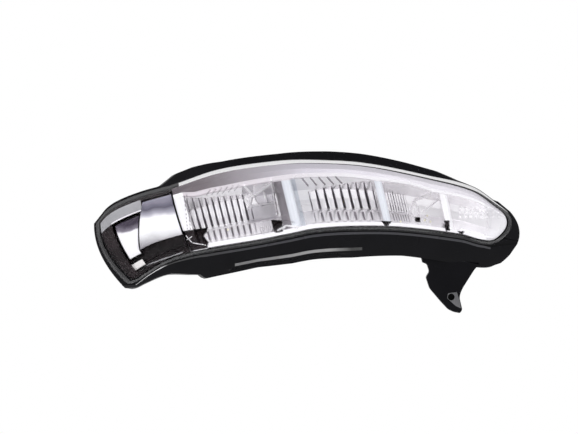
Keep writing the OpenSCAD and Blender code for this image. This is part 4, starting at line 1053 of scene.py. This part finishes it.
def make_tray():
    steps = [k / TRAY_SPLIT for k in range(TRAY_SPLIT + 1)]
    rows = sorted({mix(a[0], b[0], t) for a, b in zip(TRAY_ROWS, TRAY_ROWS[1:]) for t in steps})
    floor_from, floor_to = INSET_W + 4.8, TRAY_END - 0.15
    edges = [INSET_W, INSET_W + 1.2, floor_from, floor_from + 0.8, BAY_X - BAY_SIDE, BAY_X, floor_to,
             floor_to + 0.05, TRAY_END]
    xs = sorted({mix(a, b, k / 8) for a, b in zip(edges, edges[1:]) for k in range(9)})
    front = []
    for x in xs:
        deep = ramp(x, edges[2], edges[3]) * (1 - ramp(x, edges[6], edges[7]))
        front.append(tray_column(x, rows, deep, TRAY_EDGE_STAND if x in (xs[0], xs[-1]) else 1))
    grid = np.array(front)
    near = away(grid[..., [0, 2]], *TRAY_LINE)
    grid[..., 1] -= TRAY_LINE_H * np.clip(1 - near / TRAY_LINE_HALF, 0, 1)
    back_x, back = tray_back()
    points, faces = skins([[tuple(q) for q in c] for c in grid], back, xs, back_x, rows, BACK_V)
    x, t = np.array(xs[:-1])[:, None], np.array(rows[:-1])
    beside_bay = x < BAY_X - BAY_SIDE
    shelf = beside_bay & (x > floor_from) & (SHELF_FROM <= t) & (t < ROOF_TO)
    roof = beside_bay & (ROOF_FROM <= t) & (t < ROOF_TO)
    # Painted reflection on the roof and the raised line, painted highlight on the shelf
    looks = np.where(shelf, 2, np.where(roof | (corners(near).mean(axis=0) < TRAY_LINE_SHOWN), 1, 0))
    mesh_piece("window_tray", points, faces, TRAY, ["end_tray"], 30, (ROOF_PAINTED_REFLECTION, SHELF_PAINTED_HIGHLIGHT),
               front_pick(looks, faces))


BLOCK_CROWN, BLOCK_ROUND, BLOCK_GAP = 0.28, 5, 0.5
BAY_TURN, BAY_RUN = 0.07, 0.65
END_IN, MAIN_IN, CORNER_X = 6.2, 0.2, (6.6, 13.4)
# Top and foot of each block as shares across, its share of the full thickness, and how much it bows
MAIN_V, END_V, CORNER_V = (0.075, 0.72), (0.25, 0.77), (0.84, 0.925)
END_T, CORNER_T, MAIN_BOW, END_BOW = 0.8, 0.5, 0.08, 0.1


def make_block(name, x0, x1, height, thick, material, stands_for, bow=0.0):
    """Rounded block on the tray's floor; its ends x0 and x1 depend on the share across."""
    us, vs = spread(28, 0.75), spread(28, 0.75)
    floor_gap = TRAY_DEPTH - SIDE_GAP

    def skin(lift):
        columns = []
        for u in us:
            column = []
            for v in vs:
                t = mix(*height, v)
                px, pz = inner_line(mix(x0(t), x1(t), u)).point(t)
                crown = 1 - BLOCK_CROWN + BLOCK_CROWN * swell(u, BLOCK_ROUND) * swell(v, BLOCK_ROUND)
                crown += bow * math.sin(math.pi * v) * math.sin(math.pi * u)
                column.append((px, rim_y(px) + floor_gap - lift * thick * crown, pz))
            columns.append(column)
        return columns

    points, faces = skins(skin(1), skin(0), us, us, vs, vs)
    mesh_piece(name, points, faces, material, [stands_for], 30)


def make_blocks():
    def bay(t):
        return mix(BAY_TOP, BAY_FOOT, clamp((t - BAY_TURN) / BAY_RUN))

    make_block("guide_main", bay, lambda t: TRAY_END - MAIN_IN, MAIN_V, GUIDE_T, GUIDE_PAINTED_LIGHT, "light_guide",
               MAIN_BOW)
    make_block("guide_end", lambda t: INSET_W + END_IN, lambda t: bay(t) - BLOCK_GAP, END_V, GUIDE_T * END_T,
               GUIDE_END_PAINTED_LIGHT, "guide_end_block", END_BOW)
    make_block("guide_corner", lambda t: CORNER_X[0], lambda t: CORNER_X[1], CORNER_V, GUIDE_T * CORNER_T,
               GUIDE_FOOT, "guide_foot")


# Stage, light and camera
FLOOR_Z, FLOOR_HALF, FLOOR_GREY = -0.35, 1.3, 0.9
VIEW_WIDTH, FOCAL, SENSOR = 0.289, 240.0, 36.0
AIM = ((97.4 - HOLE_X) / 1000, 0.0, -HOLE_Z / 1000)
SKY_BELOW, SKY_ABOVE = (0.45, 0.45, 0.46, 1), (0.9, 0.895, 0.905, 1)
KEY_SIZE, KEY_POWER = (1.8, 1.0), 9
FILL_SIZE, FILL_POWER = (1.2, 1.3), 3.2


def white_material(name):
    material, nodes, links = new_material(name)
    body = node(nodes, "BsdfDiffuse", {"Color": (FLOOR_GREY, FLOOR_GREY, FLOOR_GREY, 1)})
    finish(nodes, links, body.outputs["BSDF"])
    return material


def make_stage():
    mesh = bpy.data.meshes.new("floor")
    r = FLOOR_HALF
    mesh.from_pydata([(x, y, FLOOR_Z) for x, y in ((-r, -r), (r, -r), (r, r), (-r, r))], [], [(0, 1, 2, 3)])
    mesh.materials.append(white_material("floor_white"))
    floor = bpy.data.objects.new("floor", mesh)
    link(floor)


def area(name, shift, size, power):
    """Soft area light aimed at the middle of the lamp, from a place counted from there in metres."""
    data = bpy.data.lights.new(name, "AREA")
    data.shape = "RECTANGLE"
    data.size, data.size_y = size
    data.energy = power
    lamp = bpy.data.objects.new(name, data)
    lamp.location = Vector(AIM) + Vector(shift)
    lamp.rotation_euler = (-Vector(shift)).to_track_quat("-Z", "Y").to_euler()
    link(lamp)


def make_world():
    """White for the camera, and a soft sky that is brighter above for everything else."""
    world = bpy.data.worlds.new("studio")
    bpy.context.scene.world = world
    world.use_nodes = True
    nodes, links = world.node_tree.nodes, world.node_tree.links
    nodes.clear()
    parts = node(nodes, "SeparateXYZ")
    links.new(node(nodes, "TexCoord").outputs["Generated"], parts.inputs["Vector"])
    height = node(nodes, "MapRange", {"From Min": -1})
    links.new(parts.outputs["Z"], height.inputs["Value"])
    shade = node(nodes, "ValToRGB")
    shade.color_ramp.elements[0].color = SKY_BELOW
    shade.color_ramp.elements[1].color = SKY_ABOVE
    links.new(height.outputs["Result"], shade.inputs["Fac"])
    around = node(nodes, "Background", {"Strength": 1})
    links.new(shade.outputs["Color"], around.inputs["Color"])
    seen = node(nodes, "Background", {"Color": (1, 1, 1, 1), "Strength": 1})
    choose = node(nodes, "MixShader")
    links.new(node(nodes, "LightPath").outputs["Is Camera Ray"], choose.inputs["Fac"])
    links.new(around.outputs["Background"], choose.inputs[1])
    links.new(seen.outputs["Background"], choose.inputs[2])
    links.new(choose.outputs["Shader"], node(nodes, "OutputWorld").inputs["Surface"])


def make_lights():
    area("key_top", (-0.2, -0.5, 0.9), KEY_SIZE, KEY_POWER)
    area("fill_left", (-0.9, -0.7, 0.1), FILL_SIZE, FILL_POWER)
    area("fill_right", (0.9, -0.7, 0.2), FILL_SIZE, FILL_POWER)


def make_camera():
    distance = VIEW_WIDTH * FOCAL / SENSOR
    data = bpy.data.cameras.new("camera")
    data.lens = FOCAL
    data.sensor_width = SENSOR
    data.clip_end = 20
    camera = bpy.data.objects.new("camera", data)
    camera.location = (AIM[0], AIM[1] - distance, AIM[2])
    camera.rotation_euler = (math.pi / 2, 0, 0)
    link(camera)
    bpy.context.scene.camera = camera


dress_nodes()
make_lens()
make_seal()
make_tub()
make_leg()
make_pegs()
make_reflector()
make_tray()
make_blocks()
make_stage()
make_world()
make_lights()
make_camera()
bpy.context.scene.view_settings.view_transform = "Standard"
